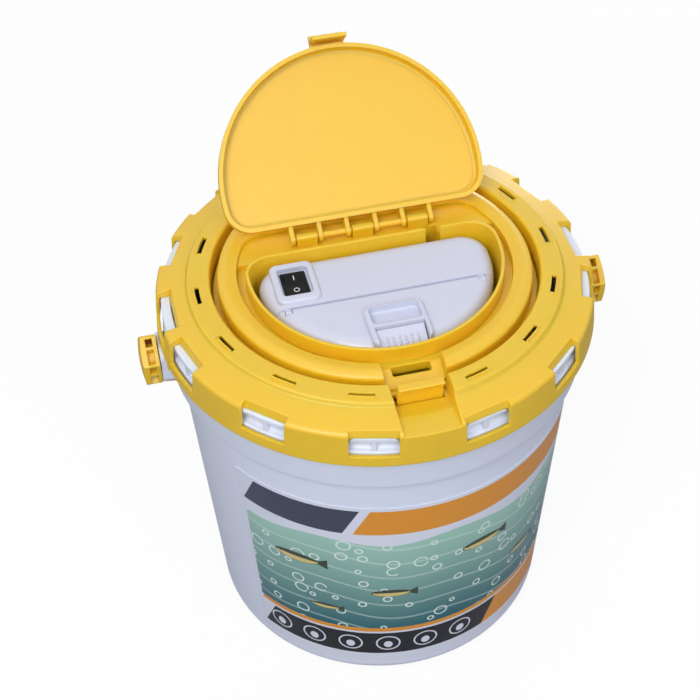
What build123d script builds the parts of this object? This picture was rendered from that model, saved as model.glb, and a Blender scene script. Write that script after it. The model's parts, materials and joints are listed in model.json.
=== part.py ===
from build123d import *
import math
import os

# Aerated bait bucket. A white bucket carries a snap ring, and a flip lid lies inside that ring.
# The lid has a deep well for a battery air pump, and a small hatch closes over the pump.
#
# Millimetres. Origin at the centre of the base, +Z up. The catch and the label face -Y, and the
# handle turns about a line along X. At rest the hatch stands open, the pump sits in its well
# and the handle hangs behind the bucket.

# ------------------------------------------------------------------ bucket sizes
BASE_R = 108.0            # wall radius carried down to the base plane
BASE_ROUND = 8.0
WALL_GROWTH = 0.0616      # the wall's radius grows by this much per mm of height
BUCKET_WALL = 2.4
FLOOR_T = 3.0
RIM_Z = 247.5             # top of the rim flange
FLANGE_T = 3.4
FLANGE_REACH = 4.2        # flange beyond the recessed web under it
RIM_WALL = 1.6
LEDGE_DROP = 11.0         # ledge under the web, below the rim
LEDGE_T = 2.4
LEDGE_ROUND = 3.0         # sweep from the web into the ledge
COLLAR_T = 2.0
COLLAR_DROP = 42.5        # collar's lower edge, below the rim
COLLAR_BULGE = 0.8        # collar's widest line, beyond the ledge
COLLAR_BULGE_DROP = 20.5
COLLAR_TUCK = 2.6         # collar draws in by this much from its widest line to its lower edge
RIM_RIB_T = 2.5
RIM_RIB_IN = 0.8          # rim rib's face, inside the flange's edge
COLLAR_RIBS = 12

# ------------------------------------------------------------------ liner and label
LINER_T = 12.0
LINER_FLOOR = 12.0
SEAT_GAP = 0.3            # gap between pieces that rest on each other
LABEL_T = 0.4
LABEL_GAP = 0.08
LABEL_FOOT_Z = 13.0
LABEL_TOP_DROP = 25.0     # label's top, below the collar
LABEL_HALF_ANGLE = 58.0

# ------------------------------------------------------------------ snap ring sizes
RING_WALL = 2.0
RING_CLEAR = 0.45         # skirt clear of the rim flange
SKIRT_FLARE = 1.7         # skirt's lower edge beyond its shoulder
SKIRT_DROP = 18.5         # skirt's lower edge, below the rim
SHOULDER_RISE = 4.0       # shoulder above the rim
PLATEAU_RISE = 11.8       # slotted plateau above the rim
BAND_RISE = 8.0           # sloping band's inner end above the rim
STEP_IN = 1.3
STEP_DROP = 1.1
OPENING_R = 97.0
OPENING_ROUND = 1.8
PLATEAU_W = 13.2          # slotted plateau, from the opening out to the band
SEAT_DROP = 16.3          # gasket seat below the plateau
SEAT_W = 9.0              # gasket seat, from the groove's outer wall inwards
SLOT_IN = 8.0             # slots' middle line, out from the opening
SLOT_L = 14.5
SLOT_W = 2.6
SLOT_RIM_W = 1.1
SLOT_RIM_H = 0.8
SLOT_ANGLES = [18.0, 42.2, 66.4, 90.6, 114.8, 139.0, 163.0]
WINDOWS = [(14.4, 3.9), (42.5, 5.8), (72.0, 8.1), (114.5, 8.1), (137.0, 5.8), (159.0, 3.9)]  # angle, depth
WINDOW_W = 27.6
TAB_WINDOW_W = 33.0
TAB_WINDOW_DEPTH = 10.1
WINDOW_SILL_DROP = 11.4   # window's lower edge, below the rim
HEADER_SLOPE = 1.4        # window header leans out by this much
HEADER_WEB = 12.0         # solid shoulder behind the headers
NIB_ANGLE = 80.5
NIB_DROP = 2.6
NIB_W = 3.2

# front channel and catch
CHANNEL_HALF = 15.6
CHANNEL_FLARE = 3.7
CHANNEL_FLOOR_DROP = 12.4  # channel floor at the catch, below the plateau
CHANNEL_RUN = 11.0        # steep part of the channel floor
CHANNEL_STEP = 1.8        # channel floor over the rim, above the rim's top
CHANNEL_FALL = 0.8        # the floor's further rise to the skirt
CHANNEL_T = 1.5
CATCH_HALF = 13.0
CATCH_T = 2.0
CATCH_OUT = 4.3           # front face of the catch, beyond the opening
CATCH_TOP_RISE = 1.7      # catch's top above the plateau
CATCH_LIP = 3.6
CATCH_LIP_H = 1.6
CATCH_NOSE_H = 2.4
CATCH_BAY = 0.9           # room before and behind the catch's foot
CATCH_NOSE_GAP = 0.6

# ------------------------------------------------------------------ flip lid sizes
LID_WALL = 2.4
GROOVE_W = 4.35
CROWN_RISE = 1.3
CROWN_W = 11.4
CROWN_SPAN = 11.45        # crown, from the lid's outer wall in to the recess
RECESS_REAR = 45.0
RECESS_ROUND = 17.0
VALLEY_DROP = 5.8
SHELF_DROP = 2.0
SHELF_FRONT = 21.5
SHELF_ROUND = 3.0
LIP_REAR = 19.5
LIP_ROUND = 16.0
LIP_T = 1.8
LIP_RISE = 4.7
WELL_DEPTH = 75.6
WELL_DRAFT = 3.5
WELL_FLOOR_T = 2.4
GASKET_T = 1.7
GASKET_IN = 1.0           # gasket's inner edge, from the seat's
LID_FLANGE_GAP = 1.4
LID_RIBS = 10
RIB_T = 2.0
NOTCH_X = 40.5
NOTCH_W = 9.0
NOTCH_DEPTH = 29.0        # below the lip's top
NOTCH_REAR = 28.0
NOTCH_IN = 6.0            # the hose's way starts this far inside the lip's rear
CHUTE_WALL = 1.8
GAP_HALF = 17.6
GAP_START = 4.0           # the gap reaches this far inside the recess's edge
BRIDGE_REAR_DROP = 4.8
BRIDGE_FRONT_DROP = 9.3
BRIDGE_FRONT_IN = 1.65     # bridge's front edge, inside the lid's outer wall
BRIDGE_TONGUE = 4.0
RECESS_BEAD = 0.7         # small step up at the recess's edge
HOLE_HALF = 11.2
HOLE_L = 6.2
HOLE_ROOM = 1.0           # hook hole's front edge, beyond the hook
REAR_AXIS_Y = 95.0
REAR_KNUCKLE_R = 3.8
REAR_KNUCKLE_W = 12.0
REAR_KNUCKLE_IN = 10.0
REAR_ARM_L = 12.0
REAR_PIN_R = 1.6
KNUCKLE_GAP = 1.6
PIN_CLEAR = 0.06          # running fit on the radius

# ------------------------------------------------------------------ hatch sizes
HATCH_SIDE_GAP = 1.2      # closed hatch's edge, inside the recess
HATCH_OVER = 4.0          # hatch's edge, beyond the well's lip
HATCH_REAR = 23.7
HATCH_ROUND = 16.0
HATCH_INNER_ROUND = 2.0
HATCH_EDGE = 1.6
HATCH_PANEL_T = 2.4
HATCH_RIM_T = 2.5
HATCH_LIFT = 2.0          # panel's underside above the lip's top
HATCH_RIM_H = 7.5
HATCH_OPEN = 135.0
AXIS_Y = 31.5
AXIS_DROP = 2.3           # hatch pin below the lip's top
PIN_R = 2.0
EYE_R = 3.6
ARM_T = 2.6
ARM_LINES = [8.7, 25.5, 42.5]
BLOCK_LINES = [-34.0, 0.0, 34.0]
BLOCK_HALF = 6.2
BLOCK_FRONT = 27.6
BLOCK_REAR = 35.8
CLIP_MOUTH = 3.3
HOOK_HALF = 10.4
HOOK_T = 2.2
HOOK_OUT = 4.2            # hook's front face, beyond the hatch's edge
HOOK_REACH = 15.0
HOOK_LIP = 3.3
HOOK_LIP_R = 1.7

# ------------------------------------------------------------------ pump unit sizes
UNIT_GAP = 6.4            # unit's radius, inside the lip's
UNIT_CENTRE_Y = -1.5
UNIT_REAR = 15.0
UNIT_ROUND = 17.0
UNIT_TOP_DROP = 3.0       # top of the unit below the lip's top
UNIT_EDGE = 9.0
UNIT_SKIRT = 12.0
CASE_WALL = 2.2
CASE_GASKET_T = 1.0
DOOR_SEAM_Y = -25.2
SEAM_GAP = 0.4
DOOR_LIFT = 0.6            # the door's rear foot, above the rest of its edge
DOOR_PIVOT_DROP = 2.4
DOOR_PIN_R = 1.0
DOOR_PIN_L = 3.0
DOOR_CLEAR = 0.5          # open door to the well's lip
DOOR_TURNS = [50.0, 60.0, 70.0, 80.0, 90.0]
BARREL_HALF = 55.0
EAR_W = 3.8
BULKHEAD_T = 2.0
CELL_R = 16.5
CELL_L = 61.5
CELL_X = 18.0
CELL_Y = -43.5
CELL_CLEAR = 0.6          # cells below the door's barrel
NUB_R = 4.7
NUB_H = 1.5
CONTACT_T = 0.8
FRAME_HALF = 17.5
FRAME_L = 31.1
FRAME_IN = 1.5            # latch frame's front end, inside the unit's edge
FRAME_RISE = 3.6
FRAME_BAR = 2.1           # frame's width behind the scoop
SCOOP_HALF = 14.5
SCOOP_L = 14.0
SCOOP_DEPTH = 1.6
LATCH_HALF = 13.9
LATCH_L = 12.8
LATCH_T = 2.0
LATCH_IN = 0.9            # latch's front face, inside the unit's edge
LATCH_CLEAR = 0.6
DOT_R = 0.9
DOT_PITCH = 3.5
HOUSING_X = -49.0
HOUSING_Y = -6.2
HOUSING_W = 26.0
HOUSING_L = 33.6
HOUSING_RISE = 2.4
POCKET_W = 18.0
POCKET_L = 23.5
POCKET_DEPTH = 3.6
BEZEL_W = 15.0
BEZEL_L = 21.0
BEZEL_T = 1.2
SWITCH_W = 12.8
SWITCH_L = 18.8
SWITCH_DEPTH = 11.5
SWITCH_CLEAR = 0.1
SWITCH_SEAT_T = 4.0
ROCKER_W = 11.6
ROCKER_L = 16.4
ROCKER_TILT = 8.0
SCREW_SPOTS = [(-57.0, 6.5), (57.0, 6.5), (-59.0, -17.5), (59.0, -17.5)]
COLUMN_R = 4.2
POST_R = 3.5
SCREW_HEAD_R = 2.9
SCREW_R = 1.3
SCREW_L = 14.0

# pump works
PUMP_Y = -5.5
MOTOR_R = 12.0
MOTOR_L = 27.0
MOTOR_RISE = 17.0         # motor line above the tub's floor
SHAFT_R = 1.0
PLATE_T = 2.0
PLATE_X = 12.8
PAD_R = 3.0
PAD_H = 2.0
BRACKET_HALF_Y = 13.0
BRACKET_HALF_X = 17.0
SHELF_RISE = 41.0         # top of the bracket's shelf above the tub's floor
THROW = 1.2
CRANK_R = 1.5
ECCENTRIC_R = 5.5
ECCENTRIC_T = 3.0
ROD_W = 4.0
ROD_CLEAR = 0.2
BELL_R = 12.0
BELL_H = 5.0
BELL_T = 0.9
BELL_CLEAR = 0.5
ROD_DISC_R = 6.0
HEAD_R = 15.5
HEAD_H = 10.5
HEAD_WALL = 3.5
NOZZLE_R = 2.0
NOZZLE_L = 6.5
TUBE_R = 3.0
BARB_REACH = 9.0

# ------------------------------------------------------------------ handle sizes
PIVOT_DROP = 30.5         # handle's pivot line, below the rim
EAR_STAND = 1.3           # ear beyond the ring's skirt
EAR_HALF = 12.0
EAR_T = 5.5
HANDLE_GAP = 0.6
HANDLE_W = 8.75
HANDLE_T = 18.0
WALL_GAP = 0.8            # hanging grip to the bucket's wall
BOSS_END = 13.0           # flat end of the boss, beyond the pivot
BOSS_TOP = 12.6
BOSS_FLAT_LOW = 6.4       # flat end's lower edge, below the pivot
BOSS_LOW = 15.9
BOSS_TAIL = 18.0
BOSS_BULGE = 2.4          # outer side of the boss swells by this much
HUB_R = 8.5
STUD_R = 6.0
STUD_CLEAR = 0.06
HANDLE_REST = 48.5        # hangs this far below the level line
SIDE_PLATE = 2.3
BOSS_RIBS = [-19.5, 26.0, 61.0, 94.0]   # between the pockets, down from the arm's line
ARM_POCKETS = 3           # pockets along each straight arm, on each face
LADDER_PITCH = 6.0        # degrees
LADDER_RIB = 1.6
WEB_T = 3.0
GRIP_ANGLE = 20.0

# ------------------------------------------------------------------ worked-out levels
LEDGE_Z = RIM_Z - LEDGE_DROP
PIVOT_Z = RIM_Z - PIVOT_DROP
WEB_R = BASE_R + WALL_GROWTH * (LEDGE_Z - LEDGE_T)
FLANGE_R = WEB_R + FLANGE_REACH
LEDGE_R = FLANGE_R
COLLAR_Z = RIM_Z - COLLAR_DROP
LABEL_TOP_Z = COLLAR_Z - LABEL_TOP_DROP
SHOULDER_R = FLANGE_R + RING_CLEAR + RING_WALL
SHOULDER_Z = RIM_Z + SHOULDER_RISE
SKIRT_R = SHOULDER_R + SKIRT_FLARE
SKIRT_Z = RIM_Z - SKIRT_DROP
BAND_R = OPENING_R + PLATEAU_W + STEP_IN
SEAT_R = OPENING_R - SEAT_W
SLOT_LINE_R = OPENING_R + SLOT_IN
CATCH_Y = -OPENING_R - CATCH_OUT
EAR_REACH = SKIRT_R + EAR_STAND
PLATEAU_Z = RIM_Z + PLATEAU_RISE
SEAT_Z = PLATEAU_Z - SEAT_DROP
LID_R = OPENING_R - GROOVE_W
RECESS_R = LID_R - CROWN_SPAN
HATCH_R = RECESS_R - HATCH_SIDE_GAP
LIP_R = HATCH_R - HATCH_OVER
UNIT_R = LIP_R - UNIT_GAP
UNIT_FRONT = UNIT_CENTRE_Y - UNIT_R
BRIDGE_FRONT = BRIDGE_FRONT_IN - LID_R
HOOK_FRONT = -HATCH_R - HOOK_OUT
HOLE_FRONT = HOOK_FRONT - HOLE_ROOM
HOLE_REAR = HOLE_FRONT + HOLE_L
FRAME_FRONT = UNIT_FRONT + FRAME_IN
FRAME_REAR = FRAME_FRONT + FRAME_L
SCOOP_REAR = FRAME_REAR - FRAME_BAR
SCOOP_FRONT = SCOOP_REAR - SCOOP_L
LATCH_FRONT = UNIT_FRONT + LATCH_IN
LATCH_REAR = LATCH_FRONT + LATCH_L
LID_Z = SEAT_Z + GASKET_T + SEAT_GAP
CROWN_Z = PLATEAU_Z + CROWN_RISE
VALLEY_Z = PLATEAU_Z - VALLEY_DROP
SHELF_Z = PLATEAU_Z - SHELF_DROP
LIP_Z = PLATEAU_Z + LIP_RISE
WELL_Z = LIP_Z - WELL_DEPTH
AXIS_Z = LIP_Z - AXIS_DROP
REAR_AXIS_Z = LIP_Z
HATCH_Z = LIP_Z + HATCH_LIFT
UNIT_TOP = LIP_Z - UNIT_TOP_DROP
CAP_Z = UNIT_TOP - UNIT_SKIRT
TUB_TOP = CAP_Z - CASE_GASKET_T
UNIT_Z = WELL_Z + SEAT_GAP
TUB_FLOOR = UNIT_Z + CASE_WALL
MOTOR_Z = TUB_FLOOR + MOTOR_RISE
SHELF_TOP = TUB_FLOOR + SHELF_RISE
TUBE_Z = SHELF_TOP + HEAD_H - HEAD_WALL
BEYOND = 20.0             # cutting tools reach this far past what they cut
JOIN = 0.5                # pieces of one moulding reach this far into each other
BIG = 400.0


def wall_radius(z):
    """Outer radius of the bucket's plain wall at a height."""
    return BASE_R + WALL_GROWTH * z


def outline(corners):
    """A face from corners given as (across, up, rounding)."""
    points = [(across, up) for across, up, _ in corners]
    rounds = [rounding for _, _, rounding in corners]
    return make_face(FilletPolyline(*points, radius=rounds, close=True))


def spin(corners, start=0.0, sweep=360.0):
    """A ring about Z from an outline in radius and height; angles run from -Y towards +X."""
    face = Plane.XZ * outline(corners)
    return revolve(Rot(0, 0, start - 90.0) * face, Axis.Z, sweep)


def sector(inner, outer, low, high, middle, width):
    """A piece of a ring, its middle at an angle from -Y and its width in degrees."""
    corners = [(inner, low, 0), (outer, low, 0), (outer, high, 0), (inner, high, 0)]
    return spin(corners, middle - width / 2, width)


def block(x0, x1, y0, y1, z0, z1):
    """A box between two corners."""
    size = Box(abs(x1 - x0), abs(y1 - y0), abs(z1 - z0))
    return Pos((x0 + x1) / 2, (y0 + y1) / 2, (z0 + z1) / 2) * size


def rod_x(radius, x0, x1, y, z):
    """A round bar along X."""
    return Pos((x0 + x1) / 2, y, z) * Rot(0, 90, 0) * Cylinder(radius, abs(x1 - x0))


def rod_y(radius, y0, y1, x, z):
    """A round bar along Y."""
    return Pos(x, (y0 + y1) / 2, z) * Rot(90, 0, 0) * Cylinder(radius, abs(y1 - y0))


def rod_z(radius, z0, z1, x=0.0, y=0.0):
    """A round bar along Z."""
    return Pos(x, y, (z0 + z1) / 2) * Cylinder(radius, abs(z1 - z0))


def prism_x(corners, half):
    """A bar along X from an outline in y and z, centred on x = 0."""
    face = Plane.YZ * outline(corners)
    return extrude(face, half, both=True)


def prism_y(corners, y0, y1):
    """A bar along Y from an outline in x and z."""
    face = Pos(0, max(y0, y1), 0) * (Plane.XZ * outline(corners))
    return extrude(face, abs(y1 - y0))


def d_shape(radius, rear, rounding, centre_y=0.0):
    """A disc cut straight across at the rear, with rounded rear corners."""
    disc = Pos(0, centre_y) * Rot(0, 0, -90) * Circle(radius)
    keep = Pos(0, rear - BIG / 2) * Rectangle(BIG, BIG)
    cut = disc & keep
    corners = [v for v in cut.vertices() if abs(v.Y - rear) < 0.001]
    return fillet(corners, rounding)


def d_block(radius, rear, rounding, low, high, centre_y=0.0):
    """A D-shaped slab."""
    return extrude(Pos(0, 0, low) * d_shape(radius, rear, rounding, centre_y), high - low)


def d_taper(radius, rear, rounding, top, low, draft, centre_y=0.0):
    """A D-shaped plug that narrows downwards."""
    face = Pos(0, 0, top) * d_shape(radius, rear, rounding, centre_y)
    return extrude(face, top - low, dir=(0, 0, -1), taper=draft)


def hang(shape):
    """Turn a handle piece from its level drawing to where it hangs."""
    return Pos(0, 0, PIVOT_Z) * Rot(-HANDLE_REST, 0, 0) * shape


def swing_open(shape):
    """Turn a hatch piece from closed to open about the hatch pin."""
    return Pos(0, AXIS_Y, AXIS_Z) * Rot(-HATCH_OPEN, 0, 0) * Pos(0, -AXIS_Y, -AXIS_Z) * shape


def save(name, shape):
    """Write one sub-part."""
    export_step(shape, "parts/" + name + ".step")


# ------------------------------------------------------------------ bucket
def make_bucket():
    inner_top = WEB_R - RIM_WALL
    ledge_foot = LEDGE_Z - LEDGE_T
    collar_in = LEDGE_R - COLLAR_T
    bulge_r = LEDGE_R + COLLAR_BULGE
    bulge_z = RIM_Z - COLLAR_BULGE_DROP
    foot_r = bulge_r - COLLAR_TUCK
    body = spin([
        (0, 0, 0),
        (BASE_R, 0, BASE_ROUND),
        (wall_radius(ledge_foot), ledge_foot, 0),
        (collar_in, ledge_foot, 0),
        (bulge_r - COLLAR_T, bulge_z, 0),
        (foot_r - COLLAR_T, COLLAR_Z, 0),
        (foot_r, COLLAR_Z, 0.8),
        (bulge_r, bulge_z, 6.0),
        (LEDGE_R, LEDGE_Z, 1.2),
        (WEB_R, LEDGE_Z, LEDGE_ROUND),
        (WEB_R, RIM_Z - FLANGE_T, 1.0),
        (FLANGE_R, RIM_Z - FLANGE_T, 0.8),
        (FLANGE_R, RIM_Z, 1.0),
        (inner_top, RIM_Z, 1.0),
        (inner_top, LEDGE_Z, 0),
        (wall_radius(ledge_foot) - BUCKET_WALL, ledge_foot, 0),
        (wall_radius(FLOOR_T) - BUCKET_WALL, FLOOR_T, BASE_ROUND - BUCKET_WALL),
        (0, FLOOR_T, 0),
    ])
    behind = spin([
        (wall_radius(COLLAR_Z) - 1.0, COLLAR_Z, 0),
        (wall_radius(ledge_foot) - 1.0, LEDGE_Z - 1.0, 0),
        (LEDGE_R - 1.0, LEDGE_Z - 1.0, 0),
        (foot_r - 1.0, COLLAR_Z, 0),
    ])
    rib = block(-RIM_RIB_T / 2, RIM_RIB_T / 2, 0, BIG, COLLAR_Z + 3.0, ledge_foot + 1.0)
    for step in range(COLLAR_RIBS):
        body += Rot(0, 0, (step + 0.5) * 360.0 / COLLAR_RIBS) * rib & behind
    for angle, _ in all_windows():
        body += rim_rib(angle)
    for side in (-1, 1):
        body += handle_ear(side)
        body -= rod_x(STUD_R + STUD_CLEAR, side * stud_end(), side * (EAR_REACH + 1), 0, PIVOT_Z)
    return body


def all_windows():
    """Every narrow window's angle from -Y and its depth, on both sides."""
    return [(side * angle, depth) for angle, depth in WINDOWS for side in (1, -1)]


def stud_end():
    """How far out from the middle the handle's pivot holes start."""
    return EAR_REACH - EAR_T


def rim_rib(angle):
    """The upright rib that stands behind the middle of a window."""
    half = RIM_RIB_T / 2
    low = LEDGE_Z - JOIN
    high = RIM_Z - FLANGE_T + JOIN
    return Rot(0, 0, angle) * block(-half, half, -FLANGE_R + RIM_RIB_IN, -WEB_R + JOIN, low, high)


def handle_ear(side):
    """The plate on the collar that takes the handle's stud."""
    plate = block(0, side * EAR_REACH, -EAR_HALF, EAR_HALF, COLLAR_Z, SKIRT_Z - 0.7)
    plate = fillet(plate.edges().filter_by(Axis.X), 5.0)
    inside = spin([(0, COLLAR_Z - 1, 0), (LEDGE_R - COLLAR_T / 2, COLLAR_Z - 1, 0),
                   (LEDGE_R - COLLAR_T / 2, SKIRT_Z + 1, 0), (0, SKIRT_Z + 1, 0)])
    return plate - inside


def make_liner():
    """The white foam cup inside the bucket."""
    top_r = WEB_R - BUCKET_WALL - 2 * SEAT_GAP
    foot_z = FLOOR_T + SEAT_GAP
    foot_r = wall_radius(foot_z) - BUCKET_WALL - SEAT_GAP
    bend_z = (top_r - foot_r) / WALL_GROWTH + foot_z
    top_z = SEAT_Z - RING_WALL - SEAT_GAP
    return spin([
        (0, foot_z, 0),
        (foot_r, foot_z, BASE_ROUND),
        (top_r, bend_z, 0),
        (top_r, top_z, 0.8),
        (top_r - LINER_T, top_z, 0.8),
        (foot_r - LINER_T, foot_z + LINER_FLOOR, 10.0),
        (0, foot_z + LINER_FLOOR, 0),
    ])


def make_label():
    """The thin printed skin on the bucket's front."""
    low = wall_radius(LABEL_FOOT_Z) + LABEL_GAP
    high = wall_radius(LABEL_TOP_Z) + LABEL_GAP
    skin = spin([(low, LABEL_FOOT_Z, 0), (low + LABEL_T, LABEL_FOOT_Z, 0),
                 (high + LABEL_T, LABEL_TOP_Z, 0), (high, LABEL_TOP_Z, 0)],
                -LABEL_HALF_ANGLE, 2 * LABEL_HALF_ANGLE)
    return skin


# ------------------------------------------------------------------ snap ring
def ring_top():
    """Corners of the ring's outer surface, from the skirt's foot to the opening."""
    return [
        (SKIRT_R, SKIRT_Z, 0.6),
        (SHOULDER_R, SHOULDER_Z, 3.2),
        (BAND_R, RIM_Z + BAND_RISE, 1.0),
        (BAND_R - STEP_IN, PLATEAU_Z - STEP_DROP, 1.0),
        (OPENING_R, PLATEAU_Z, OPENING_ROUND),
    ]


def make_ring():
    """The yellow ring that snaps over the rim, with its windows, slots and front channel."""
    envelope = spin(ring_top() + [(OPENING_R, SKIRT_Z, 0)])
    shell = spin(ring_top() + [
        (OPENING_R, SEAT_Z - RING_WALL, 0),
        (OPENING_R + RING_WALL, SEAT_Z - RING_WALL, 0),
        (OPENING_R + RING_WALL, PLATEAU_Z - RING_WALL, 0.8),
        (BAND_R - STEP_IN, PLATEAU_Z - STEP_DROP - RING_WALL, 0),
        (BAND_R, RIM_Z + BAND_RISE - RING_WALL, 0),
        (SHOULDER_R - HEADER_WEB, SHOULDER_Z - 0.5, 0),
        (SHOULDER_R - HEADER_WEB, RIM_Z + SEAT_GAP, 0),
        (SHOULDER_R - RING_WALL, RIM_Z + SEAT_GAP, 0),
        (SKIRT_R - RING_WALL, SKIRT_Z, 0),
    ])
    shell += channel(RING_WALL) & envelope
    shell += bay_walls()
    shell -= channel(0)
    shell -= catch_bay()
    for angle, depth in all_windows():
        shell -= window_cut(angle, WINDOW_W, depth)
    for side in (1, -1):
        shell -= window_cut(side * 90.0, TAB_WINDOW_W, TAB_WINDOW_DEPTH)
        shell += skirt_nib(side * NIB_ANGLE)
        for angle in SLOT_ANGLES:
            shell = shell - slot_cut(side * angle) + slot_rim(side * angle)
        shell += rear_knuckle(side)
    shell -= rod_x(REAR_PIN_R + PIN_CLEAR, -BIG, BIG, REAR_AXIS_Y, REAR_AXIS_Z)
    return shell


def channel(wall):
    """The slanted-sided channel in front of the catch; a wall thickness gives its outside."""
    low = PLATEAU_Z - CHANNEL_FLOOR_DROP
    over_rim = RIM_Z + CHANNEL_STEP
    inner = -OPENING_R + SEAT_W
    rear = CATCH_Y - CATCH_BAY
    front = -SKIRT_R - BEYOND
    top = PLATEAU_Z + BEYOND
    drop = CHANNEL_T if wall else 0.0
    half = CHANNEL_HALF + wall
    side = prism_x([
        (inner, low - drop, 0),
        (rear, low - drop, 0),
        (rear - CHANNEL_RUN, over_rim - drop, 0),
        (front, over_rim + CHANNEL_FALL - drop, 0),
        (front, top, 0),
        (inner, top, 0),
    ], BIG)
    flank = prism_y([
        (-half, low - drop, 0),
        (half, low - drop, 0),
        (half + CHANNEL_FLARE, top, 0),
        (-half - CHANNEL_FLARE, top, 0),
    ], inner, front)
    return side & flank


def bay_walls():
    """Floor and walls of the catch's bay, under the channel's inner end."""
    half = CATCH_HALF + CATCH_BAY + RING_WALL
    front = CATCH_Y - CATCH_BAY - RING_WALL
    return block(-half, half, front, -OPENING_R, SEAT_Z - RING_WALL, PLATEAU_Z - CHANNEL_FLOOR_DROP)


def catch_bay():
    """Room for the catch's foot, open down to the gasket seat."""
    rear = -OPENING_R + SEAT_W
    front = CATCH_Y - CATCH_BAY
    half = CATCH_HALF + CATCH_BAY
    return block(-half, half, front, rear, SEAT_Z, PLATEAU_Z + BEYOND)


def window_cut(angle, width, depth):
    """A window through skirt and shoulder, with a header that leans out as it goes down."""
    sill = RIM_Z - WINDOW_SILL_DROP
    header = SHOULDER_R - depth
    front = -SKIRT_R - BEYOND
    top = PLATEAU_Z + BEYOND
    hole = prism_x([
        (-header, top, 0),
        (-header, SHOULDER_Z + 0.5, 0),
        (-header - HEADER_SLOPE, RIM_Z + SEAT_GAP, 0),
        (-header - HEADER_SLOPE, sill, 0),
        (front, sill, 0),
        (front, top, 0),
    ], width / 2)
    return Rot(0, 0, angle) * hole


def skirt_nib(angle):
    """A small nib under the skirt, beside the side window."""
    low = SKIRT_Z - NIB_DROP
    half = NIB_W / 2
    nib = block(-half, half, -SKIRT_R, -SKIRT_R + RING_WALL, low, SKIRT_Z + JOIN)
    nib = fillet(nib.edges().filter_by(Axis.Y).group_by(Axis.Z)[0], half * 0.75)
    return Rot(0, 0, angle) * nib


def make_gasket_seat():
    """The flat ledge at the bottom of the groove, moulded on the ring's inner wall."""
    low = SEAT_Z - RING_WALL
    return spin([(SEAT_R, low, 0.6), (OPENING_R, low, 0), (OPENING_R, SEAT_Z, 0), (SEAT_R, SEAT_Z, 0.6)])


def slot_cut(angle):
    """A narrow slot through the plateau."""
    degrees = math.degrees(SLOT_L / SLOT_LINE_R)
    inner = SLOT_LINE_R - SLOT_W / 2
    return sector(inner, inner + SLOT_W, PLATEAU_Z - BEYOND, PLATEAU_Z + BEYOND, angle, degrees)


def slot_rim(angle):
    """The small raised rim outside a slot."""
    degrees = math.degrees(SLOT_L / SLOT_LINE_R)
    inner = SLOT_LINE_R + SLOT_W / 2
    top = PLATEAU_Z - STEP_DROP / 2 + SLOT_RIM_H
    return sector(inner, inner + SLOT_RIM_W, PLATEAU_Z - STEP_DROP - 1.0, top, angle, degrees)


def rear_knuckle(side):
    """The ring's knuckle for the flip lid's rear pin."""
    x0 = side * (REAR_KNUCKLE_IN + REAR_KNUCKLE_W + KNUCKLE_GAP)
    x1 = x0 + side * REAR_KNUCKLE_W
    eye = rod_x(REAR_KNUCKLE_R, x0, x1, REAR_AXIS_Y, REAR_AXIS_Z)
    leg = block(x0, x1, REAR_AXIS_Y - 0.5, REAR_AXIS_Y + REAR_KNUCKLE_R, PLATEAU_Z - 1.5, REAR_AXIS_Z)
    return eye + leg


def make_catch():
    """The sprung tongue in the channel, with its finger lip and nose."""
    front = CATCH_Y
    rear = CATCH_Y + CATCH_T
    foot = SEAT_Z + SEAT_GAP
    top = PLATEAU_Z + CATCH_TOP_RISE
    nose_z = PLATEAU_Z - BRIDGE_FRONT_DROP - 1.0
    nose_y = BRIDGE_FRONT - BRIDGE_TONGUE - CATCH_NOSE_GAP
    return prism_x([
        (front, foot, 0.4),
        (rear, foot, 0.4),
        (rear, nose_z, 0),
        (nose_y, nose_z, 0.3),
        (rear, nose_z + CATCH_NOSE_H, 0),
        (rear, top, 0.8),
        (front - CATCH_LIP, top, 0.7),
        (front - CATCH_LIP, top - CATCH_LIP_H, 0.6),
        (front, top - CATCH_LIP_H, 0.6),
    ], CATCH_HALF)


# ------------------------------------------------------------------ flip lid
def lid_envelope():
    """The outer shape of the lid's crown, closed across its middle."""
    return spin([
        (0, LID_Z, 0),
        (LID_R, LID_Z, 0),
        (LID_R, PLATEAU_Z - 1.0, 2.6),
        (LID_R - CROWN_W * 0.4, CROWN_Z, 5.0),
        (RECESS_R, PLATEAU_Z, 0),
        (RECESS_R, PLATEAU_Z + RECESS_BEAD, 0),
        (0, PLATEAU_Z + RECESS_BEAD, 0),
    ])


def lid_skin(envelope):
    """The lid's outer wall and top, with the foot that stands on the gasket."""
    inner_r = LID_R - LID_WALL
    foot_r = OPENING_R - LID_FLANGE_GAP
    under = PLATEAU_Z - LID_WALL
    hollow = spin([
        (0, LID_Z - BEYOND, 0),
        (inner_r, LID_Z - BEYOND, 0),
        (inner_r, under - 1.0, 2.0),
        (inner_r - 4.0, under, 0),
        (0, under, 0),
    ])
    foot = spin([
        (inner_r, LID_Z, 0),
        (foot_r, LID_Z, 0),
        (foot_r, LID_Z + LID_WALL, 0),
        (inner_r, LID_Z + LID_WALL, 0),
    ])
    return envelope - hollow + foot


def lid_recess(body, envelope):
    """Add the recess's floor, the bridge and the ribs, then cut the recess and its front gap."""
    low = VALLEY_Z - LID_WALL
    floor = d_block(RECESS_R + LID_WALL, RECESS_REAR + LID_WALL, RECESS_ROUND, low, PLATEAU_Z)
    body += floor & envelope
    body += bridge_block() & envelope
    body += bridge_tongue()
    body += lid_ribs() & envelope
    body -= d_block(RECESS_R, RECESS_REAR, RECESS_ROUND, SHELF_Z, BIG)
    body -= d_block(RECESS_R, SHELF_FRONT, SHELF_ROUND, VALLEY_Z, BIG)
    return body - front_gap()


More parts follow.
